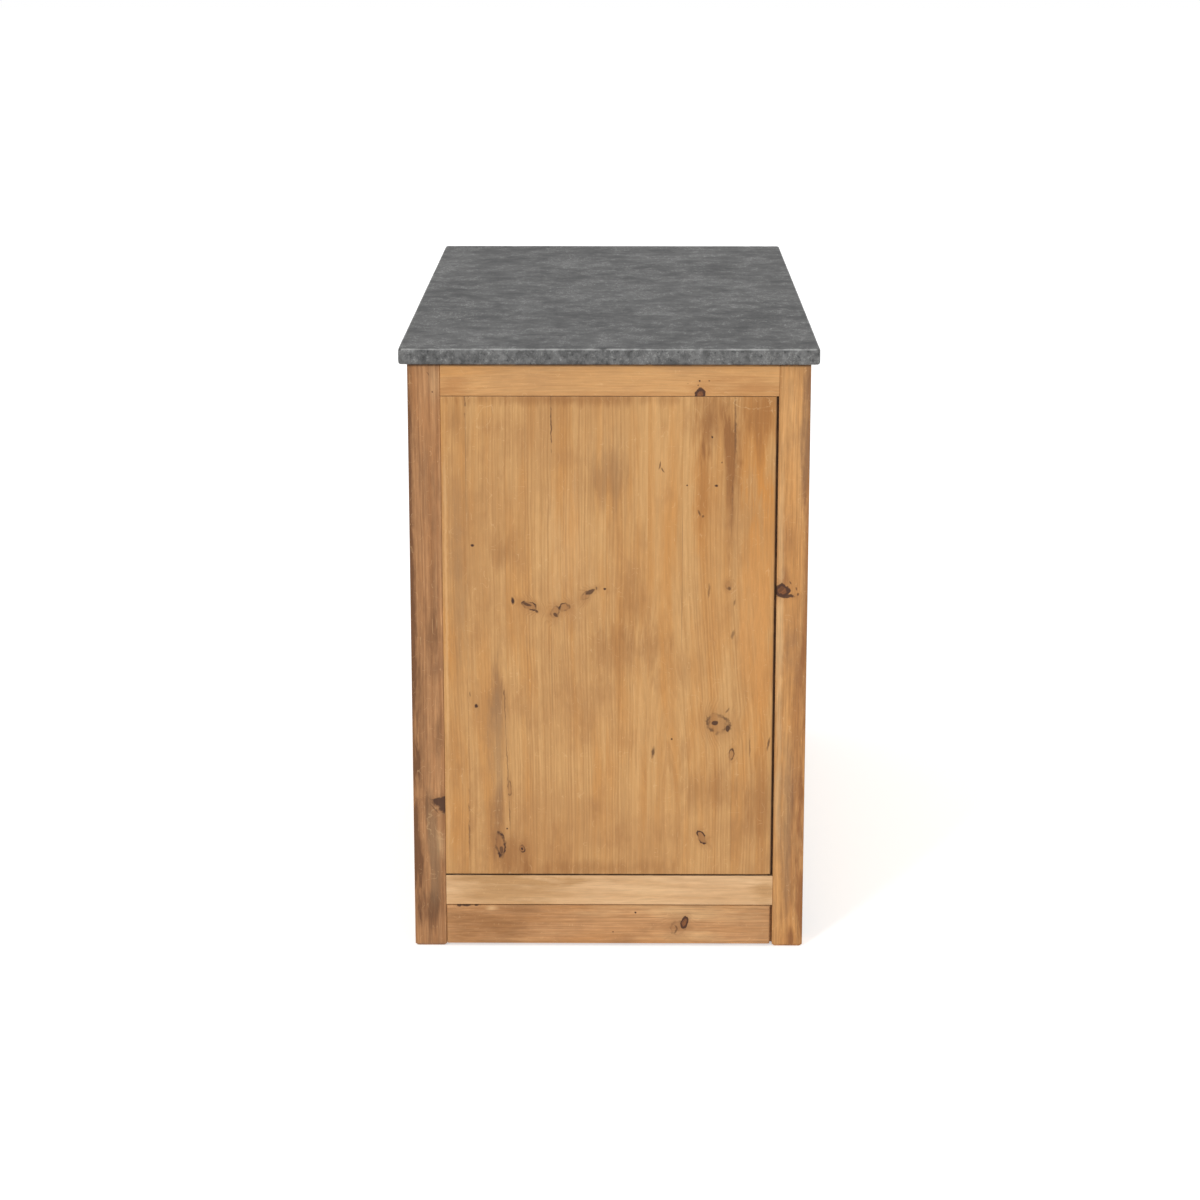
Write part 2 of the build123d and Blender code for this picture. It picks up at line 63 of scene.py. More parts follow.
# Pieces that are finer here than in the frame
worktop_corner = 7.0 * mm
worktop_outline_step = 4.0 * mm
worktop_corner_steps = 8
worktop_arris_mm = 3.0
panel_thickness = 20.0 * mm
panel_tongue_front = 9.0 * mm
panel_tongue_back = 17.0 * mm
panel_hairline = 0.4 * mm
panel_front_gap = 0.08 * mm
panel_bottom_gap = 1.5 * mm
panel_expansion_gap = 3.5 * mm
knob_reach = 20.0 * mm
knob_sides = 48

# Rounded edges
frame_edge = 0.3 * mm
front_edge = 0.6 * mm
inside_edge = 0.4 * mm
runner_edge = 0.8 * mm
hinge_edge = 0.25 * mm
strike_edge = 0.15 * mm

# Widths of dark lines: painted shade under the worktop's overhang and round the end panels, and at joints,
# where the boards' dark seams are partly real and partly painted shade
under_worktop_shade = 5.2 * mm
joint_seam_and_shade = 0.9 * mm
panel_below_shade = 3.0 * mm
panel_above_shade = 1.1 * mm
panel_gap_shade = 6.4 * mm

# Small fasteners
screw_sunk = 0.3 * mm
screw_disc_thickness = 0.33 * mm
screw_half_start = 0.03 * mm
screw_half_thickness = 0.11 * mm
screw_sides = 24
screw_slot_share = 0.2
screw_half_share = 0.97
hinge_height = 64.0 * mm
hinge_pin_radius = 1.6 * mm
hinge_plate_middle = 10.0 * mm
hinge_screw_radius = 3.0 * mm
hinge_screw_step = 21.0 * mm
hinge_screw_stagger = 3.0 * mm
hinge_screw_offset = 0.2 * mm
strike_screw_radius = 1.4 * mm
strike_screw_offset = 11.0 * mm
back_board_count = 10
nail_sides = 12
nail_offset_share = 0.3
nail_radius = 1.7 * mm
nail_inset = 6.0 * mm
nail_sunk = 1.0 * mm
nail_thickness = 1.15 * mm


# Colours and nodes


def srgb(*channels):
    """A linear colour from red, green and blue screen values of 0 to 255."""
    values = [channel / 255 for channel in channels]
    return (*[v / 12.92 if v <= 0.04045 else ((v + 0.055) / 1.055) ** 2.4 for v in values], 1.0)


class Nodes:
    """A node tree that short calls add to. Any input may be a socket or a plain value."""

    def __init__(self, tree):
        self.tree = tree

    def add(self, kind, *values, **settings):
        """Adds a node with some settings, and feeds its inputs in their order. None leaves one as it is."""
        node = self.tree.nodes.new(kind)
        for key, value in settings.items():
            setattr(node, key, value)
        for socket, value in zip(node.inputs, values):
            self.feed(socket, value)
        return node

    def feed(self, socket, value):
        if isinstance(value, bpy.types.NodeSocket):
            self.tree.links.new(value, socket)
        elif value is not None:
            socket.default_value = value

    def math(self, operation, *values, clamp=False):
        return self.add("ShaderNodeMath", *values, operation=operation, use_clamp=clamp).outputs[0]

    def times(self, a, b, **settings):
        return self.math("MULTIPLY", a, b, **settings)

    def plus(self, a, b, **settings):
        return self.math("ADD", a, b, **settings)

    def minus(self, a, b):
        return self.math("SUBTRACT", a, b)

    def gap(self, a, b):
        """How far two values lie apart."""
        return self.math("ABSOLUTE", self.minus(a, b))

    def vector(self, operation, *values):
        node = self.add("ShaderNodeVectorMath", *values, operation=operation)
        return node.outputs["Value" if operation == "LENGTH" else "Vector"]

    def apart(self, vector):
        return list(self.add("ShaderNodeSeparateXYZ", vector).outputs)

    def together(self, x, y, z):
        return self.add("ShaderNodeCombineXYZ", x, y, z).outputs[0]

    def mapped(self, vector, kind="POINT", place=(0, 0, 0), turn=(0, 0, 0), scale=(1, 1, 1)):
        return self.add("ShaderNodeMapping", vector, place, turn, scale, vector_type=kind).outputs[0]

    def noise(self, vector, scale, detail=2.0, roughness=0.5, colour=False):
        node = self.add("ShaderNodeTexNoise", vector, None, scale, detail, roughness)
        return node.outputs["Color" if colour else "Fac"]

    def noise_along(self, value, scale, detail=2.0, roughness=0.5):
        node = self.add("ShaderNodeTexNoise", None, value, scale, detail, roughness, noise_dimensions="1D")
        return node.outputs["Fac"]

    def span(self, value, low, high, to_low=0.0, to_high=1.0, smooth=True):
        """Turns a span of values into another. Values beyond its ends stay at the ends."""
        kind = "SMOOTHSTEP" if smooth else "LINEAR"
        node = self.add("ShaderNodeMapRange", value, low, high, to_low, to_high, interpolation_type=kind)
        return node.outputs[0]

    def mix(self, amount, a, b, blend="MIX"):
        node = self.add("ShaderNodeMix", amount, data_type="RGBA", blend_type=blend)
        # the sockets before these are for numbers and vectors
        self.feed(node.inputs[6], a)
        self.feed(node.inputs[7], b)
        return node.outputs[2]

    def seen_directly(self):
        """1 for rays from the camera, mirrors and glass, and 0 for the light on surfaces."""
        rays = self.add("ShaderNodeLightPath").outputs
        mirrored = self.math("MAXIMUM", rays["Is Glossy Ray"], rays["Is Transmission Ray"])
        return self.math("MAXIMUM", rays["Is Camera Ray"], mirrored)


class Look(Nodes):
    """A material: its nodes, with a shader that is linked to its output."""

    def __init__(self, name):
        self.material = bpy.data.materials.new(name)
        self.material.use_nodes = True
        super().__init__(self.material.node_tree)
        self.tree.nodes.clear()
        self.shader = self.add("ShaderNodeBsdfPrincipled")
        self.output = self.add("ShaderNodeOutputMaterial", self.shader.outputs[0])
        self.place = self.add("ShaderNodeTexCoord").outputs["Object"]

    def finish(self, colour, roughness, height=None, depth=None, specular=0.5, metallic=0.0):
        """Sets the shader's own sockets, and a bump where there is a height and its depth."""
        sockets = self.shader.inputs
        self.feed(sockets["Base Color"], colour)
        self.feed(sockets["Roughness"], roughness)
        self.feed(sockets["Specular IOR Level"], specular)
        self.feed(sockets["Metallic"], metallic)
        if height is not None:
            bump = self.add("ShaderNodeBump")
            self.feed(bump.inputs["Height"], height)
            self.feed(bump.inputs["Distance"], depth)
            self.feed(sockets["Normal"], bump.outputs[0])
        return self.material


# Pine: light wood, its body colour, its warm bands, its dull patches and the dark side of a ring
tones = {
    "panel": ((212, 164, 107), (194, 146, 91), (196, 135, 69), (173, 124, 75), (152, 102, 56)),
    "top_rail": ((221, 171, 113), (209, 156, 99), (209, 149, 85), (192, 144, 94), (181, 126, 74)),
    "bottom_rail": ((226, 186, 140), (210, 168, 122), (206, 159, 108), (191, 152, 110), (189, 146, 98)),
    "plinth": ((208, 160, 112), (190, 141, 96), (188, 131, 76), (160, 116, 76), (148, 101, 58)),
    "dark_post": ((192, 142, 96), (167, 118, 76), (165, 110, 63), (144, 101, 67), (114, 75, 45)),
    "light_post": ((217, 163, 103), (195, 142, 86), (196, 135, 72), (168, 122, 78), (152, 101, 58)),
    "bare": ((233, 203, 158), (223, 189, 141), (221, 181, 127), (203, 173, 131), (201, 160, 110)),
}
knot_dark = srgb(64, 38, 26)
knot_body = srgb(134, 84, 48)
grey_wood = srgb(150, 120, 88)
pale_wood = srgb(230, 190, 138)
warm_wood = srgb(202, 138, 70)
seam_dark = srgb(88, 60, 40)
# painted shade colour, for the dark lines in gaps and under the worktop's overhang
painted_shade_colour = srgb(70, 46, 29)

# A wood with more marks than this keeps them flat, so that its shader stays small enough
most_sunk_marks = 24
# Kinds of marks that tint the wood softly, and kinds that have bent rings round them
tints = ("grey", "pale", "stain", "warm")
knotty = ("knot", "shell", "dead_knot", "wedge")
# Where a plain dark mark begins and where it is full, as shares of its size, and how dark it is
plain_marks = {
    "dead_knot": (1.15, 0.75, 0.9),
    "wedge": (1.15, 0.75, 0.9),
    "dot": (1.15, 0.4, 1.0),
    "crack": (1.1, 0.3, 0.7),
}
# How far a mark's outline wanders, how deep a mark goes, and how far a knot pushes the rings round it
mark_wander = 3.0 * mm
mark_depth = 22.0 * mm
knot_push = 9.0 * mm


class Marks:
    """What knots, cracks and stains add to a wood: how dark, grey or pale they make each point."""

    def __init__(self, look, grain):
        self.look = look
        wander = look.vector("SUBTRACT", look.noise(look.place, 110.0, 1.0, colour=True), (0.5, 0.5, 0.5))
        wander = look.vector("MULTIPLY", wander, (mark_wander,) * 3)
        self.place = look.vector("ADD", look.place, wander)
        _, self.y, self.z = look.apart(self.place)
        self.ragged = look.span(look.noise(look.place, 150.0, 2.0, 0.6), 0.3, 0.7, -0.16, 0.16, smooth=False)
        self.broken = look.span(look.noise(look.place, 80.0, 1.0), 0.38, 0.6, 0.15, 1.0)
        stretch = [0.14 if letter == grain else 1.0 for letter in axes]
        cloud = look.noise(look.mapped(look.place, scale=stretch), 70.0, 4.0, 0.65)
        self.cloudy = look.span(cloud, 0.3, 0.7, -0.5, 0.5, smooth=False)
        self.totals = {}

    def total(self, name):
        return self.totals.get(name, 0.0)

    def grow(self, name, amount, operation="MAXIMUM"):
        self.totals[name] = self.look.math(operation, self.total(name), amount)

    def tint(self, colour, **kinds):
        """The colour, mixed with another at each kind of mark, by a share of the mark's strength."""
        for name, (share, other) in kinds.items():
            if name in self.totals:
                amount = self.look.times(self.total(name), share, clamp=True)
                colour = self.look.mix(amount, colour, other)
        return colour

    def distance(self, kind, centre, half, tilt):
        """How far a point lies from a mark's centre, as a share of the half widths.

        A mark without a half width along X goes right through the wood. A wedge has its flat side on top.
        """
        look = self.look
        if half[0] is None:
            cosine, sine = math.cos(tilt[0]), math.sin(tilt[0])
            turned = []
            for size, by_y, by_z in ((half[1], cosine, sine), (half[2], -sine, cosine)):
                start = -(by_y * centre[1] + by_z * centre[2]) / size
                value = look.math("MULTIPLY_ADD", self.y, by_y / size, start) if by_y else start
                turned.append(look.math("MULTIPLY_ADD", self.z, by_z / size, value) if by_z else value)
            across, up = turned
            return look.math("SQRT", look.math("MULTIPLY_ADD", across, across, look.times(up, up)))
        local = look.mapped(self.place, "TEXTURE", centre, tilt, half)
        if kind != "wedge":
            return look.vector("LENGTH", local)
        _, across, up = look.apart(local)
        below = look.math("MAXIMUM", look.times(up, -1.0), look.times(up, 5.0))
        return look.plus(look.math("ABSOLUTE", across), below)

    def put(self, kind, centre, half, tilt, strength=1.0):
        """Adds one mark: its centre, its half widths, its tilt and how strong it is."""
        look = self.look
        # 0 at the mark's middle and 1 on its outline
        far = self.distance(kind, centre, half, tilt)
        if kind in tints:
            far = look.plus(far, self.cloudy)
            self.grow(kind, look.span(far, 1.15, 0.0, 0.0, strength), "ADD")
            return
        if kind in knotty:
            self.grow("halo", look.span(far, 2.8, 0.9))
        far = look.plus(far, self.ragged)
        if kind in plain_marks:
            start, full, share = plain_marks[kind]
            self.grow("dark", look.span(far, start, full, 0.0, share * strength))
        elif kind == "knot":
            rim = look.times(look.span(far, 0.4, 0.72), look.span(far, 1.15, 1.0))
            inner = look.times(look.span(look.gap(far, 0.34), 0.13, 0.0, 0.0, 0.85), self.broken)
            self.grow("dark", look.times(look.math("MAXIMUM", rim, inner), 0.9 * strength))
            self.grow("body", look.span(far, 1.1, 0.9))
        elif kind == "shell":
            rim = look.times(look.span(far, 0.62, 0.92), look.span(far, 1.2, 1.0))
            self.grow("dark", look.times(look.times(rim, self.broken), 0.7 * strength))
            self.grow("body", look.span(far, 1.1, 0.7, 0.0, 0.22 * strength))
        elif kind == "seam":
            line = look.span(far, 1.1, 0.1, 0.0, 0.8 * strength)
            self.grow("seam", look.times(line, self.broken))
        elif kind == "arc":
            ring = look.span(look.gap(far, 1.0), 0.09, 0.0, 0.0, 0.55 * strength)
            self.grow("arc", look.times(ring, self.broken))


def lines(look, planes):
    """1 on each plane, given as a coordinate, a place along it and a width, and 0 beside them."""
    total = 0.0
    for value, place, width in planes:
        off = look.gap(value, place)
        total = look.math("MAXIMUM", total, look.span(off, width, 0.3 * width))
    return total


def board_space(look, node, grain, chance, joints, quartered):
    """A wood's own coordinates: along its grain, and two distances from its pith.

    Boards side by side each have a pith of their own. The random values of each are given too.
    """
    low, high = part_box(node)
    centre = (low + high) / 2
    coordinates = dict(zip(axes, look.apart(look.place)))
    across = [coordinates[letter] for letter in axes if letter != grain]
    middles = [value for letter, value in zip(axes, centre) if letter != grain]
    shift = chance.uniform(-40.0, 40.0)
    along = look.plus(coordinates[grain], shift)

    board = chance.uniform(0.0, 90.0)
    for letter, joint in joints:
        board = look.plus(board, look.math("GREATER_THAN", coordinates[letter], joint))
    lot = look.add("ShaderNodeTexWhiteNoise", None, board, noise_dimensions="1D")
    lots = look.apart(lot.outputs["Color"])

    drift = look.noise_along(along, 1.3, 1.0)
    away = chance.uniform(0.05, 0.11)
    turn = chance.uniform(0, 2 * math.pi)
    if quartered:
        turn = math.copysign(math.pi / 2, math.sin(turn)) + 0.3 * math.cos(turn)
    pith = [middles[0] + away * math.cos(turn), middles[1] + away * math.sin(turn)]
    offsets = []
    for value, start, own, sway in zip(across, pith, lots, (0.05, 0.035)):
        value = look.minus(value, start)
        value = look.plus(value, look.math("MULTIPLY_ADD", own, 0.09, -0.045))
        offsets.append(look.plus(value, look.times(drift, sway)))
    return coordinates, along, offsets, lots, shift


def pine(node, grain, tone, seed, marks=(), joints=(), painted_shade_lines=(), figure=1.0, threads=1.0, quartered=False):
    """Waxed pine with growth rings round a pith outside the board, bands, patches and marks.

    Joints are where boards meet, each an axis and a place along it. Dark lines of painted shade, in gaps
    and under the worktop's overhang, are each given as an axis, a place along it and the width of the
    dark line there. Figure is how strong the rings and patches are, and threads how strong the fine
    streaks along the grain. Quartered wood has its pith to one side, so that its rings run straight along
    the piece.
    """
    look = Look(node)
    chance = random.Random(seed)
    light, body, warm, dull, late = [srgb(*colour) for colour in tones[tone]]
    spots = Marks(look, grain)
    for mark in marks:
        spots.put(*mark)

    coordinates, along, offsets, lots, shift = board_space(look, node, grain, chance, joints, quartered)
    straight = look.vector("LENGTH", look.together(offsets[0], offsets[1], 0.0))
    radius = look.plus(straight, look.times(spots.total("halo"), knot_push))

    def stretched(share):
        """The place with its distances along the grain made shorter."""
        return look.together(offsets[0], offsets[1], look.times(along, share))

    wave = look.noise(stretched(0.12), 70.0, 2.0)
    spacing = chance.uniform(3.6, 5.2) * mm
    ring = look.plus(look.math("DIVIDE", radius, spacing), look.times(wave, 1.5))
    ring = look.math("FRACT", ring)
    latewood = look.times(look.span(ring, 0.2, 0.86), look.span(ring, 1.0, 0.9))
    strength = look.span(look.noise_along(radius, 45.0, 2.0), 0.38, 0.72)
    latewood = look.times(latewood, strength)
    waved = look.plus(straight, look.times(wave, 5 * mm))
    streak = look.noise_along(waved, 210.0, 3.0, 0.7)
    band = look.noise(stretched(0.1), 34.0, 3.0, 0.55)
    fibre = look.noise(stretched(0.03), 800.0, 2.0)
    thread = look.noise(stretched(0.02), 330.0, 3.0, 0.7)
    fleck = look.noise(stretched(0.2), 210.0, 3.0, 0.6)
    patch = look.noise(look.vector("ADD", look.place, (shift, shift, 0.0)), 5.0, 4.0, 0.6)
    cloud = look.noise(stretched(0.45), 24.0, 4.0, 0.65)

    # the light streaks are clear in some places and faint in others
    lively = look.span(cloud, 0.4, 0.62, 0.35, 1.15)
    streaks = look.math("MULTIPLY_ADD", look.minus(streak, 0.51), lively, 0.51)
    colour = look.mix(look.span(streaks, 0.32, 0.7), light, body)
    bands = look.math("MULTIPLY_ADD", lots[2], 0.25, look.span(band, 0.42, 0.7, -0.1, 0.5))
    colour = look.mix(bands, colour, warm)
    colour = look.mix(look.times(latewood, 0.42 * figure), colour, late)
    broad = look.times(look.span(patch, 0.45, 0.68), 0.5 * figure)
    small = look.times(look.span(cloud, 0.48, 0.75), 0.5 * figure)
    colour = look.mix(look.plus(broad, small, clamp=True), colour, dull)
    colour = spots.tint(colour, warm=(0.7, warm_wood), stain=(0.8, late))
    colour = spots.tint(colour, pale=(0.5, pale_wood), grey=(0.5, grey_wood))
    fine = look.plus(look.times(fibre, 0.35), look.times(fleck, 0.25))
    fine = look.plus(fine, look.times(thread, 0.4))
    shade = look.span(fine, 0.36, 0.64, 1 - 0.11 * threads, 1 + 0.08 * threads, smooth=False)
    colour = look.mix(1.0, colour, look.together(shade, shade, shade), "MULTIPLY")
    # fine light scratches lie where a slow noise crosses its middle
    curl = look.noise(look.place, 58.0, 0.0)
    scratch = look.span(look.gap(curl, 0.5), 0.014, 0.0)
    scratch = look.times(scratch, look.span(fleck, 0.5, 0.6, 0.0, 0.3))
    colour = look.mix(look.math("MAXIMUM", scratch, spots.total("arc")), colour, pale_wood)
    if joints:
        broken = look.span(look.noise(look.mapped(look.place, scale=(1, 9, 2.2)), 2.4, 2.0), 0.5, 0.7, 0, 0.4)
        found = lines(look, [(coordinates[letter], joint, joint_seam_and_shade) for letter, joint in joints])
        spots.grow("seam", look.times(found, broken))
    colour = spots.tint(colour, halo=(0.3, late), seam=(1.0, seam_dark))
    colour = spots.tint(colour, body=(1.0, knot_body), dark=(1.0, knot_dark))
    # dark lines of painted shade in the gaps and under the worktop's overhang, broken a little by the flecks
    if painted_shade_lines:
        found = lines(look, [(coordinates[letter], place, width) for letter, place, width in painted_shade_lines])
        found = look.times(found, look.span(fleck, 0.3, 0.55, 0.55, 0.9))
        colour = look.mix(found, colour, painted_shade_colour)

    height = look.plus(look.times(streak, 0.5), look.times(fibre, 0.5))
    if len(marks) < most_sunk_marks:
        height = look.minus(height, look.times(spots.total("dark"), 2.0))
    roughness = look.span(patch, 0.3, 0.7, 0.55, 0.47)
    return look.finish(colour, roughness, height, 0.12 * mm, specular=0.3)


def scattered(node, face, seed, knots, dots):
    """Marks at random places of one face of a node: the face is named by its axis and side, such as x+."""
    chance = random.Random(seed)
    low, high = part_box(node)
    normal = axes.index(face[0])
    size = high - low
    along = max((0, 1, 2), key=lambda i: size[i])
    found = []
    for i in range(knots + dots):
        centre = [chance.uniform(a + 0.06 * (b - a), b - 0.06 * (b - a)) for a, b in zip(low, high)]
        centre[normal] = (high if face[1] == "+" else low)[normal]
        grown = chance.uniform(4.0, 8.0) if i < knots else chance.uniform(1.2, 2.2)
        half = [grown * mm] * 3
        half[along] *= chance.uniform(1.1, 1.9)
        half[normal] = mark_depth
        tilt = [0.0, 0.0, 0.0]
        tilt[normal] = chance.uniform(-0.5, 0.5)
        kind = chance.choice(("knot", "knot", "dead_knot")) if i < knots else "dot"
        found.append((kind, tuple(centre), tuple(half), tuple(tilt)))
    return found


def on_right_end(rows, deep=mark_depth):
    """Marks on the right end, from rows of a mark's values, in mm and degrees."""
    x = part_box("front_right_post")[1].x

    def mark(kind, y, z, half_y, half_z, strength=1.0, tilt=0.0):
        half = (deep, half_y * mm, half_z * mm)
        return kind, (x, y * mm, z * mm), half, (math.radians(tilt), 0.0, 0.0), strength

    return [mark(*row) for row in rows]


# The photographed end's marks, by piece
own_marks = {}
own_marks["right_end_panel"] = on_right_end(deep=None, rows=(
    ("dot", -140, 529, 2.6, 6.5, 1, 8), ("shell", -115, 522, 12, 5.5, 1.6, -24),
    ("dead_knot", -119, 524, 6, 2.6, 0.9, -20), ("dead_knot", -105, 514, 3, 2, 0.9, -60),
    ("shell", -65, 520, 7.5, 5.5, 1.4, 24), ("shell", -78, 512, 6, 9, 1.1, -20),
    ("dead_knot", -77, 508, 4, 2.8, 0.9, -50), ("dead_knot", -27, 543, 8.5, 3.6, 0.9, 30),
    ("shell", -34, 537, 5, 9, 1, -40), ("dot", -6, 547, 2.6, 1.8), ("dot", -18, 548, 1.4, 3, 0.6),
    ("dot", -197, 612, 2.8, 2.4), ("dot", -194, 371, 2.8, 3.4), ("crack", -203, 389, 1.2, 5, 0.8),
    ("crack", -153, 391, 1.4, 8, 0.8), ("crack", -152, 366, 1, 42, 0.65, 1.8),
    ("crack", -149, 282, 1.1, 52, 0.65, 1.8), ("shell", -146, 246, 2.6, 11, 0.9, 2),
    ("crack", -146, 208, 1, 30, 0.7, 1.8), ("crack", 73, 730, 1.6, 7, 1, -12),
    ("crack", 77, 723, 1.4, 5, 1, 35), ("dot", 148, 771, 2, 2.4), ("dot", 162, 734, 1.3, 1.6, 0.7),
    ("dot", 154, 700, 2.4, 2.4), ("dot", 112, 700, 1.4, 1.4), ("crack", 130, 660, 2.2, 5, 1, 20),
    ("crack", 136, 655, 2.2, 3, 1, -30), ("crack", 145, 545, 2.2, 12, 0.7, -6),
    ("shell", 173, 553, 4, 6, 0.8), ("dot", 174, 548, 2.4, 3.4, 0.7), ("crack", 182, 527, 2, 7, 0.7, -10),
    ("crack", 180, 479, 3, 9, 0.7, -14), ("shell", 160, 344, 17, 14, 1, -35),
    ("dead_knot", 155, 346, 5.5, 4, 1, 10), ("dead_knot", 174, 337, 3.4, 5),
    ("crack", 174, 365, 1.8, 6, 0.8, -40), ("shell", 180, 298, 3.6, 9, 1.2, -8),
    ("crack", 65, 301, 3.2, 10, 1.1, -6), ("dot", 92, 321, 1.9, 1.9), ("crack", 207, 310, 1, 20, 0.7),
    ("crack", 234, 314, 1.8, 12, 1, -10), ("shell", 137, 171, 5.4, 10, 2, 26),
    ("shell", -128, 152, 4.4, 5.4, 1.8), ("dot", -128, 152, 1.8, 2.4),
    ("shell", -160, 158, 7, 19, 1.4, 5), ("dead_knot", -159, 150, 3, 6.5, 0.8),
    ("dot", -150, 183, 1.6, 1.8), ("seam", -206, 812, 1.7, 34), ("seam", -206, 190, 1.5, 70, 0.8),
    ("seam", -83, 790, 1.2, 62, 1.2, 0.6), ("seam", 181, 780, 2, 66, 0.9, 0.8),
    ("seam", 178, 690, 1.6, 60, 0.5, -1), ("stain", 148, 796, 32, 70, 1.1),
    ("stain", 175, 740, 15, 150, 1.3), ("stain", 214, 800, 40, 80, 0.9), ("stain", 136, 700, 16, 90, 0.6),
    # the wide stain at 826 mm, across the panel's top, is painted shade under the top rail
    ("stain", -60, 826, 210, 13, 0.8), ("stain", -8, 704, 48, 56, 0.6), ("stain", -155, 602, 24, 34, 0.6),
    ("stain", 40, 530, 34, 70, 0.5), ("stain", 24, 460, 66, 52, 0.5), ("stain", 112, 432, 34, 40, 0.3),
    ("stain", 150, 246, 54, 44, 0.6), ("stain", 222, 230, 30, 80, 0.7), ("stain", -142, 138, 44, 40, 0.8),
    ("stain", -20, 122, 150, 16, 0.6), ("stain", -222, 790, 20, 60, 0.5),
    ("stain", -163, 400, 15, 60, 0.8), ("stain", -163, 210, 17, 60, 0.9), ("grey", -163, 310, 15, 170),
    ("grey", -218, 560, 14, 220, 0.7), ("grey", 0, 730, 40, 60, 0.4), ("warm", 212, 770, 34, 130, 1.2),
    # the warm and pale bands at -236 mm, along the panel's left edge, are a painted highlight on its eased
    # edge
    ("warm", 220, 520, 32, 280, 1.3), ("warm", 134, 700, 18, 120, 1.1), ("warm", -236, 480, 4, 420, 0.7),
    ("pale", -236, 460, 3, 420, 0.8), ("pale", 216, 500, 28, 150, 0.3), ("pale", -60, 600, 40, 120, 0.5),
    ("arc", 205, 822, 26, 10, 0.8), ("arc", -178, 800, 9, 18, 0.7, -30),
))
own_marks["right_end_top_rail"] = on_right_end((
    ("knot", 130, 830, 6.8, 11), ("dot", 129, 852, 1.5, 1.5), ("dot", 127, 846, 1.5, 1.5, 0.7),
    ("dot", 143, 852, 1.3, 1.3, 0.7), ("crack", 113, 848, 2.4, 0.8, 0.6),
    ("stain", 205, 840, 64, 24, 0.9), ("stain", -226, 844, 34, 22, 0.9), ("stain", -40, 831, 200, 9, 0.6),
    ("stain", 142, 842, 36, 16, 0.6),
))
own_marks["right_end_bottom_rail"] = on_right_end((
    ("stain", -150, 92, 130, 34, 1.2), ("stain", 232, 86, 24, 28, 1.1), ("stain", -120, 103, 140, 8, 0.9),
    ("pale", 60, 84, 60, 22, 0.4),
))
own_marks["back_right_post"] = on_right_end((
    ("knot", 251, 545, 10, 9.5), ("dead_knot", 250, 547, 6, 3, 0.6, 50), ("dead_knot", 256, 537, 13, 3),
    ("crack", 263, 557, 1.2, 3.5, 1, 30), ("stain", 252, 563, 11, 22), ("crack", 272, 548, 1.4, 3, 1, 20),
    ("crack", 274, 540, 1.6, 3.4, 1, -10), ("stain", 276, 330, 12, 230, 0.7),
    # the narrow marks at 283 to 286 mm make the post darker along its outer edge
    ("stain", 286, 600, 7, 560, 0.9), ("stain", 284, 760, 9, 130), ("stain", 256, 620, 20, 46, 0.5),
    ("stain", 249, 340, 9, 70, 0.5), ("stain", 283, 60, 11, 100, 0.9), ("grey", 283, 780, 9, 130, 0.9),
    ("stain", 270, 120, 26, 170, 0.8), ("pale", 255, 790, 15, 90, 0.2), ("stain", 272, 14, 18, 30, 0.8),
    ("grey", 262, 200, 12, 190, 0.9), ("pale", 248, 440, 7, 330, 0.9),
))
own_marks["front_right_post"] = on_right_end((
    ("wedge", -241, 228, 23, 25), ("crack", -257, 214, 1.4, 11, 0.7, 40), ("arc", -243, 192, 24, 26, 0.6),
    # the narrow stains at -283 to -287 mm make the post darker along its outer edge
    ("arc", -243, 190, 15, 16, 0.5), ("stain", -287, 560, 8, 620, 1.4),
    ("stain", -268, 690, 12, 110, 0.3), ("stain", -254, 540, 7, 200, 0.5),
    ("stain", -256, 110, 22, 130, 0.8), ("stain", -270, 330, 12, 160, 0.5),
    ("stain", -283, 170, 9, 120, 1.3), ("stain", -283, 400, 9, 90), ("stain", -260, 480, 16, 60, 0.8),
    ("stain", -250, 320, 10, 60, 0.7), ("stain", -262, 54, 18, 32, 0.7), ("pale", -249, 852, 10, 30, 0.4),
    ("pale", -249, 160, 9, 34, 0.8), ("grey", -258, 150, 12, 110), ("crack", -258, 862, 0.9, 4, 0.7, 30),
    ("dot", -252, 836, 1.6, 1.8, 0.7),
))
own_marks["right_end_plinth"] = on_right_end((
    ("knot", 113, 38, 4.8, 9.6, 1, -14), ("crack", 101, 29, 1.8, 6, 0.8, 30),
    ("crack", 100, 24, 1.6, 7, 0.8, -30), ("shell", 103, 28, 11, 12, 0.5), ("dot", 40, 53, 1.6, 1.6),
    ("dot", 6, 22, 1.4, 1.4, 0.7), ("dead_knot", -222, 63.5, 4, 2.2), ("dead_knot", -211, 63.5, 8, 1.8),
    ("dead_knot", -196, 64, 3, 1.6), ("pale", -174, 60, 12, 8, 1.2), ("stain", -175, 34, 96, 38),
    ("pale", 110, 54, 160, 15), ("pale", 110, 16, 64, 13, 0.8),
))
right_joints = [("y", y * mm) for y in (-206, -149, -83, -4, 56, 106, 180)]
left_joints = [("y", y * mm) for y in (-181, -98, -30, 41, 122, 190)]


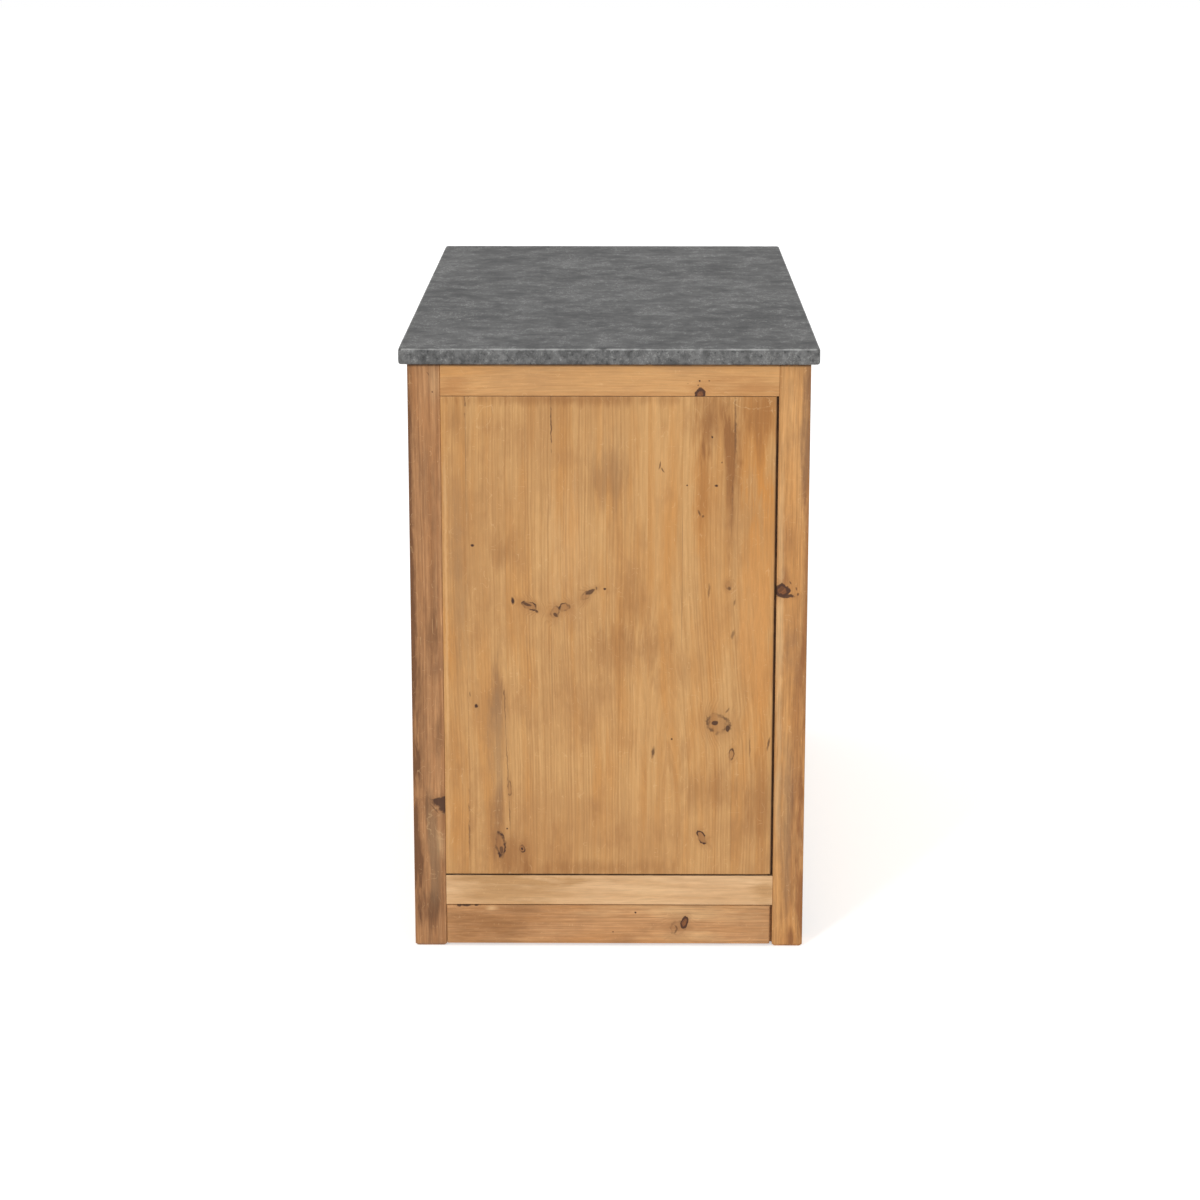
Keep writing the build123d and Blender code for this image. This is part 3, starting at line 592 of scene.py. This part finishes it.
def stone():
    """Honed bluestone: cloudy grey with paler wisps and fossil flecks, and an arris painted lighter, partly
    for its wear and partly as a painted highlight.
    """
    look = Look("bluestone")
    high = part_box("worktop_slab")[1]
    x, y, z = look.apart(look.place)
    cloud = look.noise(look.place, 7.0, 3.0, 0.6)
    mottle = look.noise(look.place, 24.0, 6.0, 0.7)
    veins = [
        look.noise(look.mapped(look.place, turn=(0, 0, turn), scale=(0.6, 1.5, 1.0)), scale, 4.0, 0.62)
        for turn, scale in ((0.6, 30.0), (-0.3, 44.0))
    ]
    fleck = look.noise(look.place, 150.0, 3.0, 0.6)
    grain = look.noise(look.place, 800.0, 2.0, 0.6)
    colour = look.mix(look.span(mottle, 0.26, 0.74), srgb(72, 72, 72), srgb(111, 111, 110))
    colour = look.mix(look.times(look.span(cloud, 0.4, 0.7), 0.3), colour, srgb(80, 80, 81))
    # wisps lie where a vein noise crosses its middle
    for vein in veins:
        wisp = look.times(look.span(look.gap(vein, 0.5), 0.012, 0.0), look.span(mottle, 0.44, 0.58))
        colour = look.mix(look.times(wisp, 0.65), colour, srgb(162, 162, 160))
    # the sawn edge is more speckled than the honed top
    edge = look.span(z, high.z - 0.5 * mm, high.z - 2.0 * mm)
    flecks = look.times(look.span(fleck, 0.56, 0.74), look.math("MULTIPLY_ADD", edge, 0.3, 0.16))
    drift = look.noise(look.mapped(look.place, turn=(0.7, 0.0, 0.0), scale=(1.0, 1.2, 1.0)), 60.0, 5.0, 0.7)
    drifts = look.times(look.span(drift, 0.36, 0.7), edge)
    colour = look.mix(look.times(drifts, 0.52), colour, srgb(142, 142, 141))
    colour = look.mix(flecks, colour, srgb(176, 176, 174))
    pits = look.times(look.span(fleck, 0.46, 0.28), look.math("MULTIPLY_ADD", edge, 0.5, 0.25))
    colour = look.mix(pits, colour, srgb(62, 62, 63))
    # the band along the top arris is painted lighter: partly worn stone, partly a painted highlight
    from_ends = look.minus(high.x, look.math("ABSOLUTE", x))
    from_sides = look.minus(high.y, look.math("ABSOLUTE", y))
    from_arris = look.plus(look.math("MINIMUM", from_ends, from_sides), look.minus(high.z, z))
    bruise = look.noise(look.place, 48.0, 5.0, 0.75)
    near_arris = look.span(from_arris, 3.0 * mm, 1.4 * mm)
    worn = look.times(near_arris, look.span(bruise, 0.38, 0.64, 0.4, 0.9))
    colour = look.mix(worn, colour, srgb(178, 178, 176))
    height = look.plus(look.times(fleck, 0.7), look.times(grain, 0.3))
    roughness = look.span(cloud, 0.3, 0.7, 0.58, 0.68)
    return look.finish(colour, roughness, height, 0.25 * mm, specular=0.12)


def beech():
    """Plain beech, with its short dark flecks along the grain."""
    look = Look("beech")
    x, y, z = look.apart(look.place)
    stretched = look.together(x, look.times(y, 0.06), z)
    fleck = look.noise(stretched, 1100.0, 1.0)
    tone = look.noise(look.place, 12.0, 3.0)
    colour = look.mix(look.span(tone, 0.35, 0.65), srgb(226, 192, 150), srgb(210, 172, 128))
    colour = look.mix(look.times(look.span(fleck, 0.6, 0.72), 0.5), colour, srgb(170, 125, 85))
    return look.finish(colour, 0.5, fleck, 0.05 * mm, specular=0.35)


def metal(name, dark, light, metallic, roughness, grain_scale, depth):
    """Cast or rolled metal: a cloudy tone, a fine grain and uneven gloss."""
    look = Look(name)
    cloud = look.noise(look.place, 90.0, 3.0, 0.6)
    grain = look.noise(look.place, grain_scale, 3.0, 0.6)
    colour = look.mix(look.span(cloud, 0.3, 0.7), srgb(*dark), srgb(*light))
    gloss = look.span(cloud, 0.3, 0.7, roughness - 0.07, roughness + 0.08)
    return look.finish(colour, gloss, grain, depth, metallic=metallic)


def plastic():
    """Moulded brown plastic with a fine spark finish."""
    look = Look("catch_plastic")
    grain = look.noise(look.place, 2500.0, 2.0, 0.6)
    colour = look.mix(look.span(grain, 0.3, 0.7), srgb(88, 62, 44), srgb(97, 69, 50))
    return look.finish(colour, 0.5, grain, 0.05 * mm)


# Which look each node of the frame gets


def dress(node, material, edge):
    """Gives a node of the frame its material, and rounds its edges."""
    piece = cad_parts[node]
    piece.data.materials.clear()
    piece.data.materials.append(material)
    weld = piece.modifiers.new("weld", "WELD")
    weld.merge_threshold = 0.005 * mm
    bevel = piece.modifiers.new("edges", "BEVEL")
    bevel.width = edge
    bevel.segments = 2
    bevel.limit_method = "ANGLE"
    bevel.angle_limit = math.radians(35)
    bevel.use_clamp_overlap = True


def end_opening(word):
    """The Y and Z spans of the opening that an end panel fills."""
    y = (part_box(f"front_{word}_post")[1].y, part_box(f"back_{word}_post")[0].y)
    z = (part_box(f"{word}_end_bottom_rail")[1].z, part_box(f"{word}_end_top_rail")[0].z)
    return y, z


def frame_painted_shade(node):
    """The edges of a piece of the frame that get a dark line of painted shade: under the worktop's overhang
    and beside the end panels.
    """
    if node.endswith(("post", "top_rail")):
        return [("z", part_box("front_right_post")[1].z, under_worktop_shade)]
    if node.endswith("end_bottom_rail"):
        _, (top, _) = end_opening("left" if "left" in node else "right")
        return [("z", top, joint_seam_and_shade)]
    return []


def dress_frame():
    """The posts, rails, muntins and plinths, with the photographed end's own marks."""
    rows = (
        ("front_right_post", "z", "dark_post", "y-", 1, 2),
        ("back_right_post", "z", "light_post", "y+", 1, 2),
        ("front_left_post", "z", "light_post", "y-", 2, 2),
        ("back_left_post", "z", "dark_post", "y+", 1, 2),
        ("right_end_top_rail", "y", "top_rail", "x+", 0, 0),
        ("left_end_top_rail", "y", "top_rail", "x-", 1, 2),
        ("right_end_plinth", "y", "plinth", "x+", 0, 0),
        ("right_end_bottom_rail", "y", "bottom_rail", "x+", 0, 0),
        ("left_end_bottom_rail", "y", "bottom_rail", "x-", 0, 2),
        ("left_end_plinth", "y", "plinth", "x-", 1, 3),
        ("front_top_rail", "x", "top_rail", "y-", 2, 4),
        ("front_drawer_rail", "x", "bottom_rail", "y-", 1, 3),
        ("front_bottom_rail", "x", "top_rail", "y-", 2, 4),
        ("front_plinth", "x", "plinth", "y-", 3, 5),
        ("front_upper_muntin", "z", "light_post", "y-", 0, 1),
        ("front_lower_muntin", "z", "light_post", "y-", 1, 2),
        ("back_top_rail", "x", "top_rail", "y+", 2, 4),
        ("back_bottom_rail", "x", "plinth", "y+", 2, 4),
    )
    for seed, (node, grain, tone, face, knots, dots) in enumerate(rows, 11):
        marks = own_marks.get(node, []) + scattered(node, face, seed, knots, dots)
        figure, threads = {"bottom_rail": (0.4, 1.2), "top_rail": (0.9, 1.3)}.get(tone, (1.2, 2.0))
        # painted shade lines under the worktop's overhang and beside the end panels
        piece_shade_lines = frame_painted_shade(node)
        material = pine(node, grain, tone, seed, marks, (), piece_shade_lines, figure, threads, quartered=True)
        dress(node, material, frame_edge)


def dress_fronts():
    """The doors' frames and panels, and the drawers' fronts."""
    rows = (
        ("door_hinge_stile", "z", "light_post", 1, 1),
        ("door_lock_stile", "z", "top_rail", 1, 2),
        ("door_top_rail", "x", "top_rail", 1, 1),
        ("door_bottom_rail", "x", "bottom_rail", 1, 1),
        ("door_panel", "z", "panel", 4, 6),
        ("drawer_front", "x", "panel", 3, 4),
    )
    for side, start in (("left", 100), ("right", 140)):
        for seed, (part, grain, tone, knots, dots) in enumerate(rows, start):
            node = f"{side}_{part}"
            marks = scattered(node, "y-", seed, knots, dots)
            dress(node, pine(node, grain, tone, seed, marks), front_edge)


def dress_inside():
    """Bare pine inside: boards, floor, partition, shelves, battens and drawer boxes."""
    rows = (
        ("back_boards", "z", "y+", 9, 12),
        ("floor_panel", "x", "z+", 3, 4),
        ("centre_partition", "z", "x+", 2, 3),
        ("left_shelf", "x", "z+", 3, 3),
        ("right_shelf", "x", "z+", 3, 3),
        ("shelf_battens", "y", "z-", 0, 0),
        *((f"{side}_drawer_{part}", grain, face, knots, dots)
          for side in ("left", "right")
          for part, grain, face, knots, dots in (
              ("inner_side", "y", "x+", 1, 2),
              ("outer_side", "y", "x-", 1, 2),
              ("back", "x", "y+", 1, 2),
              ("bottom", "x", "z+", 2, 3),
          )),
    )
    low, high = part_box("back_boards")
    board = (high.x - low.x) / back_board_count
    back_joints = [("x", low.x + i * board) for i in range(1, back_board_count)]
    # painted shade along the joints between the back boards
    back_joint_shade = [(*joint, joint_seam_and_shade) for joint in back_joints]
    for seed, (node, grain, face, knots, dots) in enumerate(rows, 200):
        marks = scattered(node, face, seed, knots, dots)
        joints, painted_shade_lines = (back_joints, back_joint_shade) if node == "back_boards" else ((), ())
        dress(node, pine(node, grain, "bare", seed, marks, joints, painted_shade_lines, figure=0.7), inside_edge)


def dress_fittings():
    """Runners, hinges, strike plates and catches. Gives the steel, for the screws and nails."""
    dress("drawer_runners", beech(), runner_edge)
    steel = metal("steel", (118, 115, 110), (150, 147, 141), 0.9, 0.38, 1800.0, 0.04 * mm)
    for node in ("hinge_frame_leaves", "hinge_pins", "left_hinge_door_leaves", "right_hinge_door_leaves"):
        dress(node, steel, hinge_edge)
    for node in ("left_door_strike", "right_door_strike"):
        dress(node, steel, strike_edge)
    dress("door_catches", plastic(), inside_edge)
    return steel


# Meshes


def new_piece(name, shape, material, body, replaced=None, smooth_angle=35):
    """Makes an object of a bmesh, with its material and body, and hides the node that it stands for."""
    bmesh.ops.recalc_face_normals(shape, faces=shape.faces)
    mesh = bpy.data.meshes.new(name)
    shape.to_mesh(mesh)
    shape.free()
    mesh.polygons.foreach_set("use_smooth", [True] * len(mesh.polygons))
    mesh.set_sharp_from_angle(angle=math.radians(smooth_angle))
    mesh.materials.append(material)
    piece = bpy.data.objects.new(name, mesh)
    bpy.context.scene.collection.objects.link(piece)
    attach(piece, body)
    if replaced:
        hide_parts(replaced)


def bridge(shape, first, second):
    """Quads between two closed rings of equally many vertices."""
    count = len(first)
    for i in range(count):
        j = (i + 1) % count
        shape.faces.new((first[i], first[j], second[j], second[i]))


def rounded_outline(half_x, half_y, radius, step):
    """Points and outward directions round a rectangle with rounded corners, a step apart."""
    points = []
    corners = ((1, 1, 0.0), (-1, 1, 0.5), (-1, -1, 1.0), (1, -1, 1.5))
    for sign_x, sign_y, start in corners:
        centre = Vector((sign_x * (half_x - radius), sign_y * (half_y - radius)))
        for i in range(worktop_corner_steps + 1):
            angle = math.pi * (start + 0.5 * i / worktop_corner_steps)
            out = Vector((math.cos(angle), math.sin(angle)))
            points.append((centre + radius * out, out))
    filled = []
    for (point, out), (following, _) in zip(points, points[1:] + points[:1]):
        count = max(1, round((following - point).length / step))
        filled += [(point.lerp(following, i / count), out) for i in range(count)]
    return filled


def circle(radius, sides):
    """Points evenly round the origin."""
    angles = [2 * math.pi * i / sides for i in range(sides)]
    return [(radius * math.cos(angle), radius * math.sin(angle)) for angle in angles]


def make_worktop(material):
    """The slab: a slightly uneven, worn arris on top and a rounder edge below."""
    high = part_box("worktop_slab")[1]
    outline = rounded_outline(high.x, high.y, worktop_corner, worktop_outline_step)
    # inset from the outline and depth below the top, in mm, and the share of the arris's wear
    profile = (
        (6, 0, 0), (4, 0, 0.2), (2.2, 0.05, 0.6), (1.2, 0.25, 1), (0.5, 0.7, 1),
        (0.12, 1.4, 0.8), (0, 2.6, 0.3), (0, 8, 0), (0, 14, 0), (0, 19.4, 0.1),
        (0.25, 21, 0.2), (0.9, 22.2, 0.2), (1.9, 22.8, 0.1), (3.2, 23, 0), (6, 23, 0),
    )
    shape = bmesh.new()
    rings = []
    for inset, depth, wear in profile:
        ring = []
        for point, out in outline:
            place = Vector((point.x, point.y, high.z))
            dents = max(0.0, noise.noise(place * 60.0)) ** 2
            nicks = max(0.0, noise.noise(place * 190.0))
            wave = 0.5 + 0.5 * noise.noise(place * 14.0)
            worn = wear * (dents * 2.2 + nicks * 0.5 + 0.4 * wave) * mm
            flat = point - out * (inset * mm + worn)
            sunk = 0.6 * worn if depth < worktop_arris_mm else 0.0
            ring.append(shape.verts.new((flat.x, flat.y, high.z - depth * mm - sunk)))
        rings.append(ring)
    for first, second in zip(rings, rings[1:]):
        bridge(shape, first, second)
    shape.faces.new(rings[0])
    shape.faces.new(rings[-1])
    new_piece("worktop", shape, material, "carcase", "worktop_slab", smooth_angle=50)


def spread(low, high, step, close):
    """Positions from low to high: the close distances from each end, and steps between."""
    inner_low, inner_high = low + close[-1], high - close[-1]
    count = max(1, round((inner_high - inner_low) / step))
    middle = [inner_low + (inner_high - inner_low) * i / count for i in range(1, count)]
    return [low + d for d in close] + middle + [high - d for d in reversed(close)]


def make_end_panel(side, material):
    """The flush end panel: its face falls away towards the edges, more on the side of the wide gap."""
    word = "right" if side > 0 else "left"
    node = f"{word}_end_panel"
    tongue_low, tongue_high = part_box(node)
    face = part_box(f"front_{word}_post")[1 if side > 0 else 0].x
    opening_y, opening_z = end_opening(word)
    y_low = opening_y[0] + panel_front_gap
    y_high = opening_y[1] - panel_expansion_gap
    z_low = opening_z[0] + panel_bottom_gap
    z_high = opening_z[1] - panel_hairline
    close = [d * mm for d in (0, 0.3, 0.8, 1.6, 2.8, 4.5, 6.5, 9, 12)]
    ys = spread(y_low, y_high, 5.0 * mm, close)
    zs = spread(z_low, z_high, 8.0 * mm, close)

    def fall(y, z):
        """How far the face lies behind its plane at a point."""
        edges = (
            (y - y_low, 2.0 * mm, 0.15 * mm),
            (y_high - y, 13.0 * mm, 1.3 * mm),
            (z - z_low, 6.0 * mm, 0.7 * mm),
            (z_high - z, 4.0 * mm, 0.6 * mm),
        )
        drop = sum(depth * max(0.0, 1 - distance / reach) ** 2 for distance, reach, depth in edges)
        uneven = 0.12 * mm * (1 + noise.noise(Vector((y * 9, z * 3, side * 5))))
        return min(drop, 1.6 * mm) + uneven

    shape = bmesh.new()
    grid = [[shape.verts.new((face - side * fall(y, z), y, z)) for z in zs] for y in ys]
    for row, following in zip(grid, grid[1:]):
        for a, b, c, d in zip(row, row[1:], following[1:], following):
            shape.faces.new((a, b, c, d))
    boundary = grid[0] + [row[-1] for row in grid[1:]] + grid[-1][-2::-1] + [row[0] for row in grid[-2:0:-1]]

    outline = ((y_low, y_high), (z_low, z_high))
    tongue = ((tongue_low.y, tongue_high.y), (tongue_low.z, tongue_high.z))

    def moved(value, sides, new_sides):
        """A coordinate of the boundary, or its new value where it lies on one of two sides."""
        for place, new in zip(sides, new_sides):
            if abs(value - place) < 0.01 * mm:
                return new
        return value

    def ring(depth, y_sides, z_sides):
        """The boundary's vertices again at a depth, with its sides moved to another rectangle's."""
        places = [(moved(v.co.y, outline[0], y_sides), moved(v.co.z, outline[1], z_sides)) for v in boundary]
        return [shape.verts.new((face - side * depth, y, z)) for y, z in places]

    steps = (
        (panel_tongue_front, outline),
        (panel_tongue_front, tongue),
        (panel_tongue_back, tongue),
        (panel_tongue_back, outline),
        (panel_thickness, outline),
    )
    rings = [boundary] + [ring(depth, *sides) for depth, sides in steps]
    for first, second in zip(rings, rings[1:]):
        bridge(shape, first, second)
    shape.faces.new(rings[-1])
    new_piece(f"{word}_end_board", shape, material, "carcase", node, smooth_angle=40)


def make_knob(node, body, material):
    """A turned iron knob: rosette, neck, flared head with a rounded rim, and a low dome with a button."""
    low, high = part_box(node)
    centre = (low + high) / 2
    front = low.y + knob_reach
    # radius and height above the front plane, in mm
    profile = (
        (3, -15), (3, -0.2), (3.2, 0), (10.6, 0), (11, 0.3), (11, 1.1), (10.7, 1.6), (9.6, 2),
        (7.6, 2.4), (6.2, 3), (5.3, 4), (5, 5.4), (5, 7), (5.5, 8.3), (6.9, 9.5), (9.2, 10.4),
        (12, 11.2), (13.9, 11.9), (14.8, 12.7), (15, 13.4), (14.7, 14.2), (13.9, 14.9), (12.4, 15.8),
        (10.6, 16.9), (8.3, 18), (6.2, 18.7), (5.4, 18.8), (4.9, 19.2), (4.2, 19.6), (2.6, 19.9),
    )
    shape = bmesh.new()
    rings = []
    for radius, height in profile:
        points = circle(radius * mm, knob_sides)
        rings.append([shape.verts.new((centre.x + x, front - height * mm, centre.z + z)) for x, z in points])
    for first, second in zip(rings, rings[1:]):
        bridge(shape, first, second)
    shape.faces.new(rings[0])
    tip = shape.verts.new((centre.x, front - knob_reach, centre.z))
    for a, b in zip(rings[-1], rings[-1][1:] + rings[-1][:1]):
        shape.faces.new((a, b, tip))
    new_piece(f"{node}_iron", shape, material, body, node, smooth_angle=60)


def add_prism(shape, outline, start, out, thickness):
    """A closed prism on an outline of 2-D points, standing on a plane through start, square to out."""
    side = out.orthogonal().normalized()
    up = out.cross(side)
    rings = []
    for height in (0.0, thickness):
        rings.append([shape.verts.new(start + side * a + up * b + out * height) for a, b in outline])
    bridge(shape, *rings)
    shape.faces.new(rings[0])
    shape.faces.new(rings[1])


def add_screw(shape, place, out, radius, turn):
    """A flush slotted screw head: a disc, with two raised halves beside the slot."""
    add_prism(shape, circle(radius, screw_sides), place - out * screw_sunk, out, screw_disc_thickness)
    first = math.asin(screw_slot_share)
    reach = screw_half_share * radius
    steps = screw_sides // 2
    for way in (1, -1):
        half = []
        for i in range(steps + 1):
            angle = first + (math.pi - 2 * first) * i / steps
            a, b = reach * math.cos(angle), way * reach * math.sin(angle)
            half.append((a * math.cos(turn) - b * math.sin(turn), a * math.sin(turn) + b * math.cos(turn)))
        add_prism(shape, half, place + out * screw_half_start, out, screw_half_thickness)


def make_hinge_screws(steel):
    """Three screws in each hinge leaf, on the faces that meet in the gap beside the door."""
    for side, word in ((-1, "left"), (1, "right")):
        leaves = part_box(f"{word}_hinge_door_leaves")
        plate_y = leaves[1].y - hinge_plate_middle
        pin = (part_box("hinge_pins")[1] - Vector((hinge_pin_radius, 0, 0))).x
        for name, body, way in (("door", f"{word}_door", -1), ("frame", "carcase", 1)):
            shape = bmesh.new()
            out = Vector((-side * way, 0, 0))
            for number, middle in enumerate((leaves[0].z + hinge_height / 2, leaves[1].z - hinge_height / 2)):
                for step in (-1, 0, 1):
                    x = side * (pin + way * hinge_screw_offset)
                    y = plate_y + (hinge_screw_stagger if step else -hinge_screw_stagger)
                    place = Vector((x, y, middle + step * hinge_screw_step))
                    add_screw(shape, place, out, hinge_screw_radius, 0.7 * step + number)
            new_piece(f"{word}_hinge_{name}_screws", shape, steel, body)


def make_strike_screws(steel):
    """Two small screws in each door's strike plate, between the catch's pole plates."""
    for side in ("left", "right"):
        low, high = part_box(f"{side}_door_strike")
        centre = (low + high) / 2
        shape = bmesh.new()
        for way in (-1, 1):
            place = Vector((centre.x + way * strike_screw_offset, high.y, centre.z))
            add_screw(shape, place, Vector((0, 1, 0)), strike_screw_radius, 0.9 * way)
        new_piece(f"{side}_strike_screws", shape, steel, f"{side}_door")


def make_back_nails(steel):
    """Two nails at each end of every back board."""
    low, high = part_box("back_boards")
    pitch = (high.x - low.x) / back_board_count
    shape = bmesh.new()
    for i in range(back_board_count):
        for offset in (-nail_offset_share, nail_offset_share):
            x = low.x + (i + 0.5 + offset) * pitch
            for z in (low.z + nail_inset, high.z - nail_inset):
                start = Vector((x, high.y - nail_sunk, z))
                add_prism(shape, circle(nail_radius, nail_sides), start, Vector((0, 1, 0)), nail_thickness)
    new_piece("back_board_nails", shape, steel, "carcase")


# Stage


def make_floor():
    """A white floor that keeps the soft shadow of the object."""
    bpy.ops.mesh.primitive_plane_add(size=60.0)
    floor = bpy.context.object
    floor.name = "floor"
    look = Look("floor")
    look.finish((0.86, 0.86, 0.86, 1.0), 0.9, specular=0.0)
    glow = look.add("ShaderNodeEmission", None, look.times(look.seen_directly(), floor_glow))
    both = look.add("ShaderNodeAddShader", look.shader.outputs[0], glow.outputs[0])
    look.feed(look.output.inputs["Surface"], both.outputs[0])
    floor.data.materials.append(look.material)


def make_world():
    """White surroundings: full white to the camera and in reflections, and a softer light on the object."""
    world = bpy.data.worlds.new("studio")
    bpy.context.scene.world = world
    world.use_nodes = True
    nodes = Nodes(world.node_tree)
    background = nodes.tree.nodes["Background"].inputs
    background["Color"].default_value = (1.0, 1.0, 1.0, 1.0)
    strength = nodes.span(nodes.seen_directly(), 0.0, 1.0, sky_light, 1.0, smooth=False)
    nodes.feed(background["Strength"], strength)


def make_lamp(name, place, spread_degrees, power):
    """A distant lamp with a soft edge, which shines from a place towards the origin."""
    data = bpy.data.lights.new(name, "SUN")
    data.angle = math.radians(spread_degrees)
    data.energy = power
    lamp = bpy.data.objects.new(name, data)
    lamp.location = place
    lamp.rotation_euler = (-Vector(place)).to_track_quat("-Z", "Y").to_euler()
    bpy.context.scene.collection.objects.link(lamp)


def make_camera():
    """The photograph's view: from beyond the right end, looking along -X and down."""
    data = bpy.data.cameras.new("camera")
    data.lens = camera_lens
    data.sensor_width = 36.0
    camera = bpy.data.objects.new("camera", data)
    camera.location = camera_place
    camera.rotation_euler = (math.radians(90 - camera_pitch), 0.0, math.radians(90 - camera_turn))
    bpy.context.scene.collection.objects.link(camera)
    bpy.context.scene.camera = camera


dress_frame()
dress_fronts()
dress_inside()
steel = dress_fittings()
iron = metal("cast_iron", (38, 36, 35), (58, 55, 52), 0.7, 0.5, 700.0, 0.15 * mm)
make_worktop(stone())
for side, word, marks, joints in (
    (1, "right", own_marks["right_end_panel"], right_joints),
    (-1, "left", scattered("left_end_panel", "x-", 61, 7, 14), left_joints),
):
    node = f"{word}_end_panel"
    (_, gap_side), (below, above) = end_opening(word)
    # dark lines of painted shade in the gaps below and above the panel and beside its wide gap
    edges = (("z", below, panel_below_shade), ("z", above, panel_above_shade), ("y", gap_side, panel_gap_shade))
    make_end_panel(side, pine(node, "z", "panel", 60 + side, marks, joints, edges))
for side in ("left", "right"):
    for part in ("door", "drawer"):
        make_knob(f"{side}_{part}_knob", f"{side}_{part}", iron)
make_hinge_screws(steel)
make_strike_screws(steel)
make_back_nails(steel)

make_floor()
make_world()
make_lamp("key", (4.0, -2.3, 1.8), 8.0, 1.15)
make_lamp("fill", (3.0, 3.4, 1.6), 60.0, 0.15)
make_camera()
bpy.context.scene.view_settings.view_transform = "Standard"
